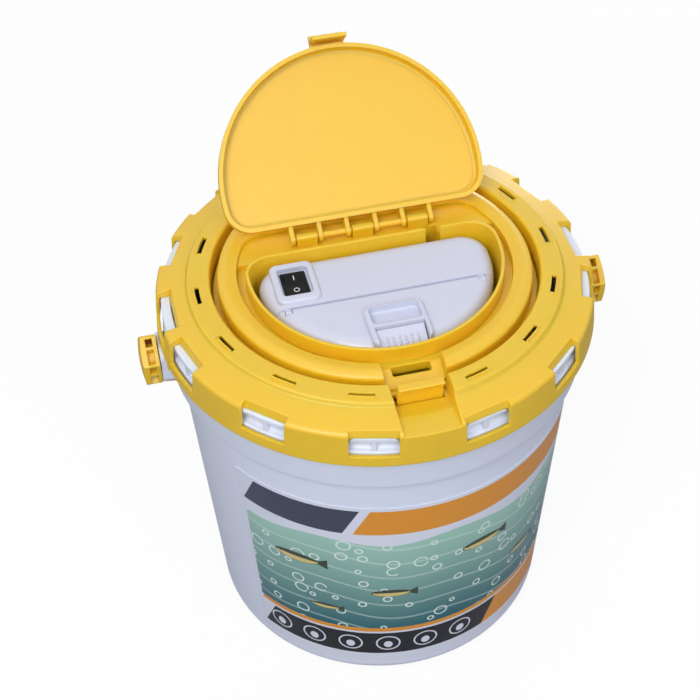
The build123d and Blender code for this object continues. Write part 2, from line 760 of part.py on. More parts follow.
def lid_well(body):
    """Add the pump well with its lip, and the hose's way behind it."""
    body += d_block(LIP_R, LIP_REAR, LIP_ROUND, VALLEY_Z - LID_WALL, LIP_Z)
    outer = d_taper(LIP_R, LIP_REAR, LIP_ROUND, LIP_Z, WELL_Z - WELL_FLOOR_T, WELL_DRAFT)
    body += outer - block(-BIG, BIG, -BIG, BIG, VALLEY_Z, BIG)
    body -= well_space(0)
    body += chute(CHUTE_WALL, SHELF_Z) - well_zone()
    return body - chute(0, BIG)


def well_space(room):
    """The tapering space inside the pump well, drawn in by some room."""
    inset = LIP_T + room
    return d_taper(LIP_R - inset, LIP_REAR - inset, LIP_ROUND - inset, LIP_Z + 1, WELL_Z, WELL_DRAFT)


def whole_lid():
    """The yellow lid inside the groove, with its recess, its lip and the pump well."""
    envelope = lid_envelope()
    body = lid_well(lid_recess(lid_skin(envelope), envelope))
    body -= hook_hole()
    for line in BLOCK_LINES:
        body += clip_block(line)
    for side in (1, -1):
        body += lid_knuckle(side)
    return body - rod_x(REAR_PIN_R + PIN_CLEAR, -BIG, BIG, REAR_AXIS_Y, REAR_AXIS_Z)


def chute(wall, top):
    """The upright way behind the well that the air hose takes; a wall thickness gives its outside."""
    x0 = NOTCH_X - NOTCH_W / 2 - wall
    x1 = NOTCH_X + NOTCH_W / 2 + wall
    return block(x0, x1, LIP_REAR - NOTCH_IN, NOTCH_REAR + wall, LIP_Z - NOTCH_DEPTH, top)


def well_zone():
    """The upright D-shaped space that the pump well fills."""
    return d_block(LIP_R, LIP_REAR, LIP_ROUND, 0, BIG)


def bridge_zone():
    """The space of the bridge, between the ends of the crown's front gap."""
    return block(-GAP_HALF, GAP_HALF, -BIG, -RECESS_R + GAP_START, 0, BIG) - well_zone()


def deck_zone():
    """The space of the recess floor, round the pump well."""
    stock = d_block(RECESS_R, RECESS_REAR, RECESS_ROUND, VALLEY_Z - LID_WALL, BIG)
    return stock + chute(CHUTE_WALL, BIG) - well_zone() - bridge_zone()


def split_lid(lid):
    """Cut the lid into its well, bridge, deck and crown, with no gap between them."""
    well = lid & well_zone()
    bridge = lid & bridge_zone()
    deck = lid & deck_zone()
    crown = lid - well_zone() - bridge_zone() - deck_zone()
    return well, bridge, deck, crown


def lid_ribs():
    """Stiffening ribs under the lid, from the well to the outer wall."""
    ribs = None
    for step in range(LID_RIBS):
        turn = (step + 0.5) * 360.0 / LID_RIBS
        rib = block(-RIB_T / 2, RIB_T / 2, -LID_R + 1.0, -LIP_R - 1.0, LID_Z + 2.0, PLATEAU_Z - 1.0)
        rib = Rot(0, 0, turn) * rib
        ribs = rib if ribs is None else ribs + rib
    return ribs


def bridge_block():
    """Solid stock under the front gap, before the gap is cut."""
    half = GAP_HALF + LID_WALL
    return block(-half, half, -LID_R, -RECESS_R + 6.0, PLATEAU_Z - BRIDGE_FRONT_DROP - 2.4, PLATEAU_Z)


def bridge_tongue():
    """The ledge in front of the bridge that the catch's nose holds down."""
    half = GAP_HALF - 2.0
    front = BRIDGE_FRONT - BRIDGE_TONGUE
    top = PLATEAU_Z - BRIDGE_FRONT_DROP - 1.6
    return block(-half, half, BRIDGE_FRONT + 1.5, front, LID_Z + 1.0, top)


def front_gap():
    """The gap in the crown that lets the hatch's hook through, over the sloping bridge."""
    rear_z = PLATEAU_Z - BRIDGE_REAR_DROP
    front_z = PLATEAU_Z - BRIDGE_FRONT_DROP
    start = -RECESS_R + GAP_START
    return prism_x([
        (start, rear_z + 1.0, 0),
        (HOLE_REAR, rear_z, 0),
        (BRIDGE_FRONT, front_z, 0),
        (-LID_R - 4.0, front_z - 1.6, 0),
        (-LID_R - 4.0, CROWN_Z + 4.0, 0),
        (start, CROWN_Z + 4.0, 0),
    ], GAP_HALF)


def hook_hole():
    """The hole in the bridge that takes the hatch's hook."""
    hole = block(-HOLE_HALF, HOLE_HALF, HOLE_FRONT, HOLE_REAR, LID_Z - 2, PLATEAU_Z)
    return fillet(hole.edges().filter_by(Axis.Z), 1.4)


def clip_block(line):
    """A block that clips round the hatch's pin, open to the rear."""
    low = SHELF_Z - JOIN
    body = block(line - BLOCK_HALF, line + BLOCK_HALF, BLOCK_FRONT, BLOCK_REAR, low, AXIS_Z + EYE_R)
    body = fillet(body.edges().filter_by(Axis.X).group_by(Axis.Z)[-1], 1.6)
    mouth = block(line - BIG, line + BIG, AXIS_Y, BLOCK_REAR + 1, AXIS_Z + 0.3, AXIS_Z + 0.3 + CLIP_MOUTH)
    return body - rod_x(PIN_R + PIN_CLEAR, -BIG, BIG, AXIS_Y, AXIS_Z) - mouth


def lid_knuckle(side):
    """The lid's own knuckle on the rear pin, with its arm."""
    x0 = side * REAR_KNUCKLE_IN
    x1 = x0 + side * REAR_KNUCKLE_W
    eye = rod_x(REAR_KNUCKLE_R, x0, x1, REAR_AXIS_Y, REAR_AXIS_Z)
    low = PLATEAU_Z - 1.0
    front = REAR_AXIS_Y - REAR_ARM_L
    arm = Plane.YZ * outline([
        (front, low, 0),
        (REAR_AXIS_Y - 5.0, low, 0),
        (REAR_AXIS_Y - 1.0, REAR_AXIS_Z - REAR_KNUCKLE_R + 0.4, 0),
        (REAR_AXIS_Y - 0.5, REAR_AXIS_Z + REAR_KNUCKLE_R - 0.3, 0),
        (front, CROWN_Z, 0),
    ])
    return eye + Pos(min(x0, x1), 0, 0) * extrude(arm, REAR_KNUCKLE_W)


def make_lid_gasket():
    """The foam ring that the lid's foot presses on."""
    inner_r = SEAT_R + GASKET_IN
    foot_r = OPENING_R - LID_FLANGE_GAP
    high = SEAT_Z + GASKET_T
    return spin([(inner_r, SEAT_Z, 0), (foot_r, SEAT_Z, 0), (foot_r, high, 0), (inner_r, high, 0)])


def make_rear_pin():
    """The steel pin of the flip lid's hinge."""
    reach = REAR_KNUCKLE_IN + 2 * REAR_KNUCKLE_W + KNUCKLE_GAP
    return rod_x(REAR_PIN_R, -reach, reach, REAR_AXIS_Y, REAR_AXIS_Z)


# ------------------------------------------------------------------ hatch
def hatch_tray():
    """The hatch's panel and rim together, drawn closed."""
    top = HATCH_Z + HATCH_PANEL_T
    low = HATCH_Z - HATCH_RIM_H
    tray = d_block(HATCH_R, HATCH_REAR, HATCH_ROUND, low, top)
    tray = fillet(tray.edges().group_by(Axis.Z)[-1], HATCH_EDGE)
    inner = inset_d(HATCH_RIM_T, low - 1.0, HATCH_Z)
    inner = fillet(inner.edges().group_by(Axis.Z)[-1], HATCH_INNER_ROUND)
    return tray - inner


def inset_d(inset, low, high):
    """A D-shaped slab that stands inside the hatch's outline."""
    return d_block(HATCH_R - inset, HATCH_REAR - inset, HATCH_ROUND - inset, low, high)


def panel_zone():
    """The space of the hatch's flat panel, inside the rounding of its rim."""
    return inset_d(HATCH_RIM_T + HATCH_INNER_ROUND, 0, BIG)


def make_hatch():
    """The hatch's panel, open."""
    return swing_open(hatch_tray() & panel_zone())


def make_hatch_rim():
    """The hatch's rim with its front hook, open."""
    return swing_open(hatch_tray() - panel_zone() + hatch_hook(HATCH_Z + HATCH_PANEL_T))


def make_hatch_arms():
    """The six arms with the hinge pin that they carry, open."""
    reach = max(ARM_LINES) + ARM_T / 2
    arms = rod_x(PIN_R, -reach, reach, AXIS_Y, AXIS_Z)
    for line in ARM_LINES:
        for side in (1, -1):
            arms += hatch_arm(side * line)
    return swing_open(arms)


def hatch_arm(line):
    """A flat arm from the rim to an eye round the pin."""
    start = line - ARM_T / 2
    face = Plane.YZ * outline([
        (HATCH_REAR, HATCH_Z - HATCH_RIM_H + 1.0, 0),
        (AXIS_Y, AXIS_Z - EYE_R, 0),
        (AXIS_Y + EYE_R, AXIS_Z, 1.5),
        (AXIS_Y, AXIS_Z + EYE_R + 0.5, 1.5),
        (HATCH_REAR, HATCH_Z + HATCH_PANEL_T - HATCH_EDGE, 0),
    ])
    bar = Pos(start, 0, 0) * extrude(face, ARM_T)
    return bar + rod_x(EYE_R, start, start + ARM_T, AXIS_Y, AXIS_Z)


def hatch_hook(top):
    """The front tab: a plate down into the bridge's hole, and a rolled finger lip."""
    root = -HATCH_R + 2.0
    rear = HOOK_FRONT + HOOK_T
    lip_low = top - 2 * HOOK_LIP_R
    foot = HATCH_Z - HOOK_REACH
    return prism_x([
        (root, top, 0),
        (HOOK_FRONT - HOOK_LIP, top, 1.6),
        (HOOK_FRONT - HOOK_LIP, lip_low, 1.2),
        (HOOK_FRONT, lip_low, 0.8),
        (HOOK_FRONT, foot, 0.5),
        (rear, foot, 0.5),
        (rear, HATCH_Z - 1.0, 0),
        (root, HATCH_Z - 1.0, 0),
    ], HOOK_HALF)


# ------------------------------------------------------------------ pump unit: case
def cap_shell():
    """The whole top cap of the unit, before it is split into cover and door."""
    outer = d_block(UNIT_R, UNIT_REAR, UNIT_ROUND, CAP_Z, UNIT_TOP, UNIT_CENTRE_Y)
    outer = fillet(outer.edges().group_by(Axis.Z)[-1], UNIT_EDGE)
    inner = d_block(UNIT_R - CASE_WALL, UNIT_REAR - CASE_WALL, UNIT_ROUND - CASE_WALL,
                    CAP_Z - 1, UNIT_TOP - CASE_WALL, UNIT_CENTRE_Y)
    inner = fillet(inner.edges().group_by(Axis.Z)[-1], UNIT_EDGE - CASE_WALL)
    return outer, inner


def switch_housing():
    """The raised housing round the switch, and the thick seat under its pocket."""
    low = CAP_Z + 2.0
    shape = Pos(HOUSING_X, HOUSING_Y, low) * RectangleRounded(HOUSING_W, HOUSING_L, 5.0)
    housing = extrude(shape, UNIT_TOP + HOUSING_RISE - low)
    housing = fillet(housing.edges().group_by(Axis.Z)[-1], 1.9)
    seat = RectangleRounded(HOUSING_W - 4.0, HOUSING_L - 6.0, 3.0)
    seat = extrude(Pos(HOUSING_X, HOUSING_Y, bezel_z() - SWITCH_SEAT_T) * seat, SWITCH_SEAT_T + JOIN)
    return housing, seat


def make_cover():
    """The rear cover with the raised switch housing."""
    outer, inner = cap_shell()
    housing, seat = switch_housing()
    trim = d_block(UNIT_R - 1.2, UNIT_REAR - 1.2, UNIT_ROUND - 1.2, CAP_Z, BIG, UNIT_CENTRE_Y)
    body = (outer + (housing & trim)) - inner + (seat & trim)
    pocket = Pos(HOUSING_X, HOUSING_Y, bezel_z()) * RectangleRounded(POCKET_W, POCKET_L, 2.5)
    body -= extrude(pocket, BEYOND)
    hole = Rectangle(SWITCH_W + 2 * SWITCH_CLEAR, SWITCH_L + 2 * SWITCH_CLEAR)
    body -= extrude(Pos(HOUSING_X, HOUSING_Y, CAP_Z - 2) * hole, 2 * UNIT_SKIRT)
    for x, y in SCREW_SPOTS:
        body += rod_z(POST_R, CAP_Z, UNIT_TOP - CASE_WALL + JOIN, x, y) & outer
        body -= rod_z(SCREW_R + PIN_CLEAR, TUB_TOP - 1, screw_shoulder() + SCREW_L + 1.0, x, y)
    body &= block(-BIG, BIG, DOOR_SEAM_Y, BIG, 0, BIG)
    for side in (1, -1):
        x0 = side * (BARREL_HALF + 0.4)
        body += door_ear(x0, x0 + side * EAR_W)
    return body


def door_ear(x0, x1):
    """A small ear of the cover with the socket for the door's stub pin."""
    y, z = door_axis()
    ear = block(x0, x1, y - 1.2, DOOR_SEAM_Y + 2.0, z - 3.0, z + 1.0) + rod_x(1.7, x0, x1, y, z)
    return ear - rod_x(DOOR_PIN_R + PIN_CLEAR, x0, x1, y, z)


def door_axis():
    """Where the battery door turns: y and z of its line along X."""
    return DOOR_SEAM_Y - SEAM_GAP - DOOR_PIVOT_DROP, UNIT_TOP - DOOR_PIVOT_DROP


def latch_frame():
    """The raised frame on the door, round the finger scoop and the latch."""
    low = CAP_Z + 4.0
    middle = (FRAME_REAR + FRAME_FRONT) / 2
    shape = Pos(0, middle, low) * RectangleRounded(2 * FRAME_HALF, FRAME_L, 5.0)
    frame = extrude(shape, UNIT_TOP + FRAME_RISE - low)
    return fillet(frame.edges().group_by(Axis.Z)[-1], 2.2)


def finger_scoop():
    """The hollow behind the latch for a finger tip."""
    middle = (SCOOP_REAR + SCOOP_FRONT) / 2
    shape = Pos(0, middle, UNIT_TOP - SCOOP_DEPTH) * RectangleRounded(2 * SCOOP_HALF, SCOOP_L, 3.0)
    scoop = extrude(shape, BEYOND)
    return fillet(scoop.edges().group_by(Axis.Z)[0], 1.5)


def make_door():
    """The battery door: the front half of the cap, with the latch frame."""
    outer, inner = cap_shell()
    y, z = door_axis()
    low = CAP_Z + SEAT_GAP
    front_half = block(-BIG, BIG, -BIG, y, low, BIG)
    tail = block(-BIG, BIG, y, DOOR_SEAM_Y - SEAM_GAP, low + DOOR_LIFT, z)
    body = (outer + latch_frame() - inner) & (front_half + tail + rod_x(DOOR_PIVOT_DROP, -BIG, BIG, y, z))
    body -= finger_scoop()
    latch_half = LATCH_HALF + LATCH_CLEAR
    body -= block(-latch_half, latch_half, LATCH_REAR + LATCH_CLEAR, -BIG, 0, BIG)
    for side in (1, -1):
        x0 = side * (BARREL_HALF + 0.1)
        x1 = side * (BARREL_HALF + 0.7 + EAR_W)
        body -= block(x0, x1, y - 2.1, DOOR_SEAM_Y, z - 4.0, BIG)
    for turn in DOOR_TURNS:
        body -= Pos(0, y, z) * Rot(turn, 0, 0) * Pos(0, -y, -z) * lip_band()
    body += rod_x(DOOR_PIVOT_DROP, -BARREL_HALF, BARREL_HALF, y, z)
    body += rod_x(DOOR_PIN_R, -BARREL_HALF - DOOR_PIN_L, BARREL_HALF + DOOR_PIN_L, y, z)
    return body


def lip_band():
    """The well's lip with some room round it, which the opening door has to pass."""
    band = d_block(LIP_R + 3.0, LIP_REAR + 3.0, LIP_ROUND, VALLEY_Z - 12.0, LIP_Z + DOOR_CLEAR)
    return band - well_space(DOOR_CLEAR)


def make_latch():
    """The thumb latch: a sloping tab with grip dots and a foot towards the tub."""
    top = UNIT_TOP + FRAME_RISE - 1.4
    nose = UNIT_TOP - 3.6
    foot = CAP_Z + 2.4
    body = prism_x([
        (LATCH_REAR, top, 0.8),
        (LATCH_FRONT + 1.6, nose, 1.5),
        (LATCH_FRONT, nose - 2.2, 0.6),
        (LATCH_FRONT, foot, 0.4),
        (LATCH_FRONT + LATCH_T, foot, 0.4),
        (LATCH_FRONT + LATCH_T, nose - 3.0, 0.5),
        (LATCH_REAR, top - LATCH_T - 0.6, 0.5),
    ], LATCH_HALF)
    run = (LATCH_FRONT + 1.6) - LATCH_REAR
    fall = nose - top
    for row in range(3):
        share = 0.52 + 0.16 * row
        for column in range(6):
            x = (column - 2.5) * DOT_PITCH
            body += Pos(x, LATCH_REAR + run * share, top + fall * share) * Sphere(DOT_R)
    return body


def make_tub():
    """The unit's deep base, with the bulkhead, the screw columns and the outlet's hole."""
    outer = d_taper(UNIT_R, UNIT_REAR, UNIT_ROUND, TUB_TOP, UNIT_Z, WELL_DRAFT, UNIT_CENTRE_Y)
    inner = d_taper(UNIT_R - CASE_WALL, UNIT_REAR - CASE_WALL, UNIT_ROUND - CASE_WALL,
                    TUB_TOP + 0.01, TUB_FLOOR, WELL_DRAFT, UNIT_CENTRE_Y)
    body = outer - inner
    wall_rear = DOOR_SEAM_Y + BULKHEAD_T + 1.0
    body += block(-BIG, BIG, wall_rear - BULKHEAD_T, wall_rear, UNIT_Z, TUB_TOP) & outer
    for x, y in SCREW_SPOTS:
        body += rod_z(COLUMN_R, UNIT_Z + 0.5, TUB_TOP, x, y) & outer
    for x, y in SCREW_SPOTS:
        shoulder = screw_shoulder()
        body -= rod_z(SCREW_HEAD_R + 0.3, UNIT_Z - 1, shoulder, x, y)
        body -= rod_z(SCREW_R + 0.3, shoulder - 1, TUB_TOP + 1, x, y)
    body -= rod_y(NOZZLE_R + 0.6, PUMP_Y + 8, UNIT_REAR + 5, NOTCH_X, TUBE_Z)
    return body


def screw_shoulder():
    """Height where the case screws' heads bear."""
    return TUB_TOP - (SCREW_L - 8.0)


def make_case_screws():
    """Four long screws, driven from below into the cover's posts."""
    group = []
    shoulder = screw_shoulder()
    for x, y in SCREW_SPOTS:
        screw = rod_z(SCREW_HEAD_R, shoulder - 2.0, shoulder, x, y)
        screw += rod_z(SCREW_R, shoulder, shoulder + SCREW_L, x, y)
        screw -= block(x - 2.2, x + 2.2, y - 0.4, y + 0.4, shoulder - 3.0, shoulder - 1.0)
        screw -= block(x - 0.4, x + 0.4, y - 2.2, y + 2.2, shoulder - 3.0, shoulder - 1.0)
        group.append(screw)
    return Compound(children=group)


def make_case_gasket():
    """The flat gasket between the tub and its covers."""
    ring = d_block(UNIT_R - 0.3, UNIT_REAR - 0.3, UNIT_ROUND - 0.3, TUB_TOP, CAP_Z, UNIT_CENTRE_Y)
    ring -= d_block(UNIT_R - CASE_WALL + 0.2, UNIT_REAR - CASE_WALL + 0.2, UNIT_ROUND - CASE_WALL + 0.2,
                    TUB_TOP - 1, CAP_Z + 1, UNIT_CENTRE_Y)
    for x, y in SCREW_SPOTS:
        ring -= rod_z(COLUMN_R + 0.2, TUB_TOP - 1, CAP_Z + 1, x, y)
    return ring


# ------------------------------------------------------------------ pump unit: cells and switch
def cell_foot():
    """Lower end of the cells, from the door's bridge contact down."""
    return UNIT_TOP - 2 * DOOR_PIVOT_DROP - CELL_CLEAR - CELL_L


def make_cell(side):
    """A D cell; the left one stands nub up, the right one nub down."""
    low = cell_foot()
    high = low + CELL_L
    body_low = low + (NUB_H if side > 0 else 0.0)
    body_high = high - (0.0 if side > 0 else NUB_H)
    can = rod_z(CELL_R, body_low, body_high, side * CELL_X, CELL_Y)
    can = fillet(can.edges().filter_by(GeomType.CIRCLE), 1.2)
    return can + rod_z(NUB_R, low + 0.01, high, side * CELL_X, CELL_Y)


def make_contact_springs():
    """The two springy cups under the cells, drawn as tapered sleeves."""
    low = TUB_FLOOR
    high = cell_foot()
    group = []
    for side in (-1, 1):
        sleeve = spin([(9.0, low, 0), (9.9, low, 0), (6.6, high, 0), (5.7, high, 0)])
        group.append(Pos(side * CELL_X, CELL_Y, 0) * sleeve)
    return Compound(children=group)


def make_bridge_contact():
    """The brass strip under the door, with a pressed dome over each cell."""
    high = UNIT_TOP - CASE_WALL
    strip = Pos(0, CELL_Y, high - CONTACT_T) * RectangleRounded(2 * CELL_X + 14, 10, 2.0)
    body = extrude(strip, CONTACT_T)
    for side in (-1, 1):
        body += rod_z(NUB_R, cell_foot() + CELL_L + SEAT_GAP, high - CONTACT_T, side * CELL_X, CELL_Y)
    return body


def bezel_z():
    """Height of the switch bezel's underside."""
    return UNIT_TOP + HOUSING_RISE - POCKET_DEPTH


def rocker_axis_z():
    """Height of the rocker's pivot line."""
    return bezel_z() - 1.2


def make_switch_body():
    """The switch's black body and bezel, hollow for the rocker."""
    low = bezel_z() - SWITCH_DEPTH
    body = block(-SWITCH_W / 2, SWITCH_W / 2, -SWITCH_L / 2, SWITCH_L / 2, low, bezel_z())
    bezel = extrude(Pos(0, 0, bezel_z()) * RectangleRounded(BEZEL_W, BEZEL_L, 1.0), BEZEL_T)
    body += chamfer(bezel.edges().group_by(Axis.Z)[-1], 0.5)
    half_w = ROCKER_W / 2 + 0.15
    half_l = ROCKER_L / 2 + 0.6
    body -= block(-half_w, half_w, -half_l, half_l, rocker_axis_z() - 4, BIG)
    return Pos(HOUSING_X, HOUSING_Y, 0) * body


def make_rocker():
    """The rocker, resting with its front end pressed down."""
    half = ROCKER_L / 2
    body = prism_x([
        (-half, -1.0, 0.4), (half, -1.0, 0.4), (half, 3.2, 0.5), (0, 2.2, 12.0), (-half, 3.2, 0.5),
    ], ROCKER_W / 2)
    return Pos(HOUSING_X, HOUSING_Y, rocker_axis_z()) * Rot(ROCKER_TILT, 0, 0) * body


def make_terminals():
    """Two brass blades under the switch."""
    top = bezel_z() - SWITCH_DEPTH
    blades = [block(-2.4, 2.4, y - 0.4, y + 0.4, top - 8.0, top) for y in (-5.0, 3.0)]
    return Pos(HOUSING_X, HOUSING_Y, 0) * Compound(children=blades)


# ------------------------------------------------------------------ pump unit: works
def make_motor():
    """The motor's can with its end cap, bored for the shaft."""
    x0 = PLATE_X + PLATE_T
    can = rod_x(MOTOR_R, x0, x0 + MOTOR_L, PUMP_Y, MOTOR_Z)
    can = fillet(can.edges().filter_by(GeomType.CIRCLE), 1.5)
    can += rod_x(4.0, x0 + MOTOR_L, x0 + MOTOR_L + 2.5, PUMP_Y, MOTOR_Z)
    return can - rod_x(SHAFT_R + PIN_CLEAR, x0 - 1, x0 + MOTOR_L - 4, PUMP_Y, MOTOR_Z)


def make_rotor():
    """The shaft with its eccentric and crank pin."""
    disc_x = PLATE_X - 1.2
    shaft = rod_x(SHAFT_R, disc_x, PLATE_X + PLATE_T + MOTOR_L - 4.3, PUMP_Y, MOTOR_Z)
    disc = rod_x(ECCENTRIC_R, disc_x - ECCENTRIC_T, disc_x, PUMP_Y, MOTOR_Z)
    crank = rod_x(CRANK_R, -ROD_W / 2, disc_x - ECCENTRIC_T, PUMP_Y, MOTOR_Z + THROW)
    return shaft + disc + crank


def make_rod():
    """The connecting rod: a ring round the crank pin, a stem and a disc under the bell."""
    hole_r = CRANK_R + 2 * THROW + ROD_CLEAR
    high = SHELF_TOP - BELL_H
    ring = rod_x(hole_r + 2.2, -ROD_W / 2, ROD_W / 2, PUMP_Y, MOTOR_Z)
    stem = block(-ROD_W / 2, ROD_W / 2, PUMP_Y - 2, PUMP_Y + 2, MOTOR_Z + hole_r + 0.5, high - 1)
    disc = rod_z(ROD_DISC_R, high - 2.0, high, 0, PUMP_Y)
    return ring + stem + disc - rod_x(hole_r, -BIG, BIG, PUMP_Y, MOTOR_Z)


def make_bell():
    """The rubber bell between the rod's disc and the pump head."""
    high = SHELF_TOP
    low = SHELF_TOP - BELL_H
    bell = spin([
        (0, low + 0.02, 0), (ROD_DISC_R, low + 0.02, 0), (BELL_R, high - 1.2, 0), (BELL_R, high - 0.02, 0),
        (BELL_R - BELL_T, high - 0.02, 0), (ROD_DISC_R - 0.4, low + BELL_T, 0), (0, low + BELL_T, 0),
    ])
    return Pos(0, PUMP_Y, 0) * bell


def make_bracket():
    """The pressed frame that carries the motor and the pump head."""
    low = TUB_FLOOR + PAD_H
    shelf_low = SHELF_TOP - PLATE_T
    y0 = PUMP_Y - BRACKET_HALF_Y
    y1 = PUMP_Y + BRACKET_HALF_Y
    body = block(-BRACKET_HALF_X, BRACKET_HALF_X, y0, y1, low, low + PLATE_T)
    body += block(-BRACKET_HALF_X, BRACKET_HALF_X, y0, y1, shelf_low, SHELF_TOP)
    body += block(PLATE_X, PLATE_X + PLATE_T, y0, y1, low, SHELF_TOP)
    body += block(-BRACKET_HALF_X, -BRACKET_HALF_X + PLATE_T, y0, y1, low, SHELF_TOP)
    body -= rod_z(BELL_R + BELL_CLEAR, shelf_low - 1, SHELF_TOP + 1, 0, PUMP_Y)
    body -= rod_x(SHAFT_R + 2, 0, PLATE_X + 5, PUMP_Y, MOTOR_Z)
    return body


def pad_spots():
    """Where the pads stand under the bracket's foot."""
    x = BRACKET_HALF_X - PAD_R - 1
    y = BRACKET_HALF_Y - PAD_R - 1
    return [(a * x, PUMP_Y + b * y) for a in (-1, 1) for b in (-1, 1)]


def make_pads():
    """Four rubber pads under the bracket."""
    return Compound(children=[rod_z(PAD_R, TUB_FLOOR, TUB_FLOOR + PAD_H, x, y) for x, y in pad_spots()])


def make_head():
    """The pump head: suction chamber, valve wall, plenum and outlet nozzle."""
    low = SHELF_TOP
    high = SHELF_TOP + HEAD_H
    inner_r = HEAD_R - HEAD_WALL
    wall_low = low + 3.8
    wall_high = wall_low + 1.6
    body = rod_z(HEAD_R, low, high, 0, PUMP_Y)
    body -= rod_z(inner_r, low - 1, wall_low, 0, PUMP_Y)
    body -= rod_z(inner_r, wall_high, high + 1, 0, PUMP_Y)
    body += rod_x(NOZZLE_R, HEAD_R - 1.0, HEAD_R + NOZZLE_L, PUMP_Y, TUBE_Z)
    body -= rod_x(NOZZLE_R - 0.9, HEAD_R - HEAD_WALL - 1, HEAD_R + NOZZLE_L + 1, PUMP_Y, TUBE_Z)
    for x in (-5.0, 5.0):
        body -= rod_z(1.2, wall_low - 1, wall_high + 1, x, PUMP_Y)
    for x, y in head_screw_spots():
        body -= rod_z(0.85, high - 6, high + 1, x, y)
    return body


def head_screw_spots():
    """Where the head cover's screws stand."""
    step = (HEAD_R - HEAD_WALL / 2) / math.sqrt(2)
    return [(a * step, PUMP_Y + b * step) for a in (1, -1) for b in (1, -1)]


def make_head_cover():
    """The round plate that closes the pump head."""
    high = SHELF_TOP + HEAD_H
    plate = rod_z(HEAD_R, high, high + 2.0, 0, PUMP_Y)
    for x, y in head_screw_spots():
        plate -= rod_z(0.95, high - 1, high + 3, x, y)
    return plate


def make_head_screws():
    """Four small screws in the head cover."""
    high = SHELF_TOP + HEAD_H + 2.0
    group = []
    for x, y in head_screw_spots():
        head = rod_z(1.6, high, high + 1.1, x, y)
        group.append(head + rod_z(0.8, high - 6.5, high, x, y))
    return Compound(children=group)


def make_flaps():
    """The inlet and outlet flaps on the valve wall."""
    wall_low = SHELF_TOP + 3.8
    wall_high = wall_low + 1.6
    inlet = rod_z(2.4, wall_low - 0.8, wall_low, -5.0, PUMP_Y)
    outlet = rod_z(2.4, wall_high, wall_high + 0.8, 5.0, PUMP_Y)
    return Compound(children=[inlet, outlet])


def make_tube():
    """The soft tube from the head's nozzle to the outlet barb."""
    start = (HEAD_R + NOZZLE_L, PUMP_Y, TUBE_Z)
    corner = (NOTCH_X, PUMP_Y, TUBE_Z)
    end = (NOTCH_X, barb_inner(), TUBE_Z)
    bend = 0.45 * min(corner[0] - start[0], end[1] - corner[1])
    path = FilletPolyline(start, corner, end, radius=bend)
    face = Plane(origin=start, x_dir=(0, 1, 0), z_dir=(1, 0, 0)) * (Circle(TUBE_R) - Circle(NOZZLE_R))
    return sweep(face, path)


def barb_inner():
    """Where the barb's inner end meets the tube."""
    return UNIT_REAR - CASE_WALL - 2.5


def make_barb():
    """The outlet barb through the tub's rear wall."""
    rear = UNIT_REAR + BARB_REACH
    body = rod_y(NOZZLE_R + 0.5, barb_inner(), rear, NOTCH_X, TUBE_Z)
    for step in range(3):
        tip = rear - 1.0 - 2.2 * step
        body += Pos(NOTCH_X, tip, TUBE_Z) * Rot(90, 0, 0) * Cone(3.1, 2.4, 1.8)
    return body - rod_y(1.3, barb_inner() - 1, rear + 2, NOTCH_X, TUBE_Z)


# ------------------------------------------------------------------ handle
def bail_half_width():
    """Inner half width of the handle, clear of the ears."""
    return EAR_REACH + HANDLE_GAP


def arm_straight():
    """The arms' straight length, so that the hanging grip just clears the bucket's wall."""
    lean = math.radians(HANDLE_REST)
    half_t = HANDLE_T / 2
    wall = wall_radius(PIVOT_Z - half_t * math.cos(lean)) + WALL_GAP
    reach = (wall + half_t * math.sin(lean)) / (math.cos(lean) + WALL_GROWTH * math.sin(lean))
    return reach - bail_half_width()


def bail_face():
    """The handle's outline in its own plane: an arch on two straight arms."""
    inner = bail_half_width()
    outer = inner + HANDLE_W
    straight = arm_straight()
    arch = Pos(0, straight) * (Circle(outer) - Circle(inner))
    arch &= Pos(0, straight + BIG / 2) * Rectangle(BIG, BIG)
    for side in (-1, 1):
        arch += Pos(side * (inner + outer) / 2, straight / 2) * Rectangle(HANDLE_W, straight)
    return arch


def make_handle():
    """The bail with its ladder of pockets, end bosses and pivot studs."""
    half_t = HANDLE_T / 2
    body = extrude(Pos(0, 0, -half_t) * bail_face(), HANDLE_T)
    body -= block(-BIG, BIG, -BIG, BOSS_TAIL, -BIG, BIG)
    body -= ladder_pockets(half_t)
    for side in (-1, 1):
        body += boss(side)
        body += rod_x(STUD_R, side * (stud_end() + 0.5), side * (bail_half_width() + 1.0), 0, 0)
    return hang(body)


def boss_corners():
    """The boss's outline along and across the arm."""
    half_t = HANDLE_T / 2
    return [
        (BOSS_TAIL, half_t, 0),
        (6.0, BOSS_TOP, 4.0),
        (-BOSS_END, BOSS_TOP, 2.0),
        (-BOSS_END, -BOSS_FLAT_LOW, 0.8),
        (1.0, -BOSS_LOW, 4.0),
        (BOSS_TAIL - 3.0, -half_t - 1.0, 6.0),
        (BOSS_TAIL, -half_t, 0),
    ]


def boss(side):
    """An end of the handle: two side plates, a hub and ribs between, the outer plate swelling outwards."""
    inner = bail_half_width()
    outer = inner + HANDLE_W
    radius = (BOSS_TAIL ** 2 + BOSS_BULGE ** 2) / (2 * BOSS_BULGE)
    middle = (outer + inner) / 2
    body = Pos(middle, 0, 0) * prism_x(boss_corners(), HANDLE_W / 2)
    swell = Pos(outer + BOSS_BULGE / 2, 0, 0) * prism_x(boss_corners(), BOSS_BULGE / 2)
    body += swell & Pos(outer + BOSS_BULGE - radius, 0, 0) * Sphere(radius)
    body -= boss_pockets(inner + SIDE_PLATE, outer - SIDE_PLATE)
    return body if side > 0 else mirror(body, Plane.YZ)


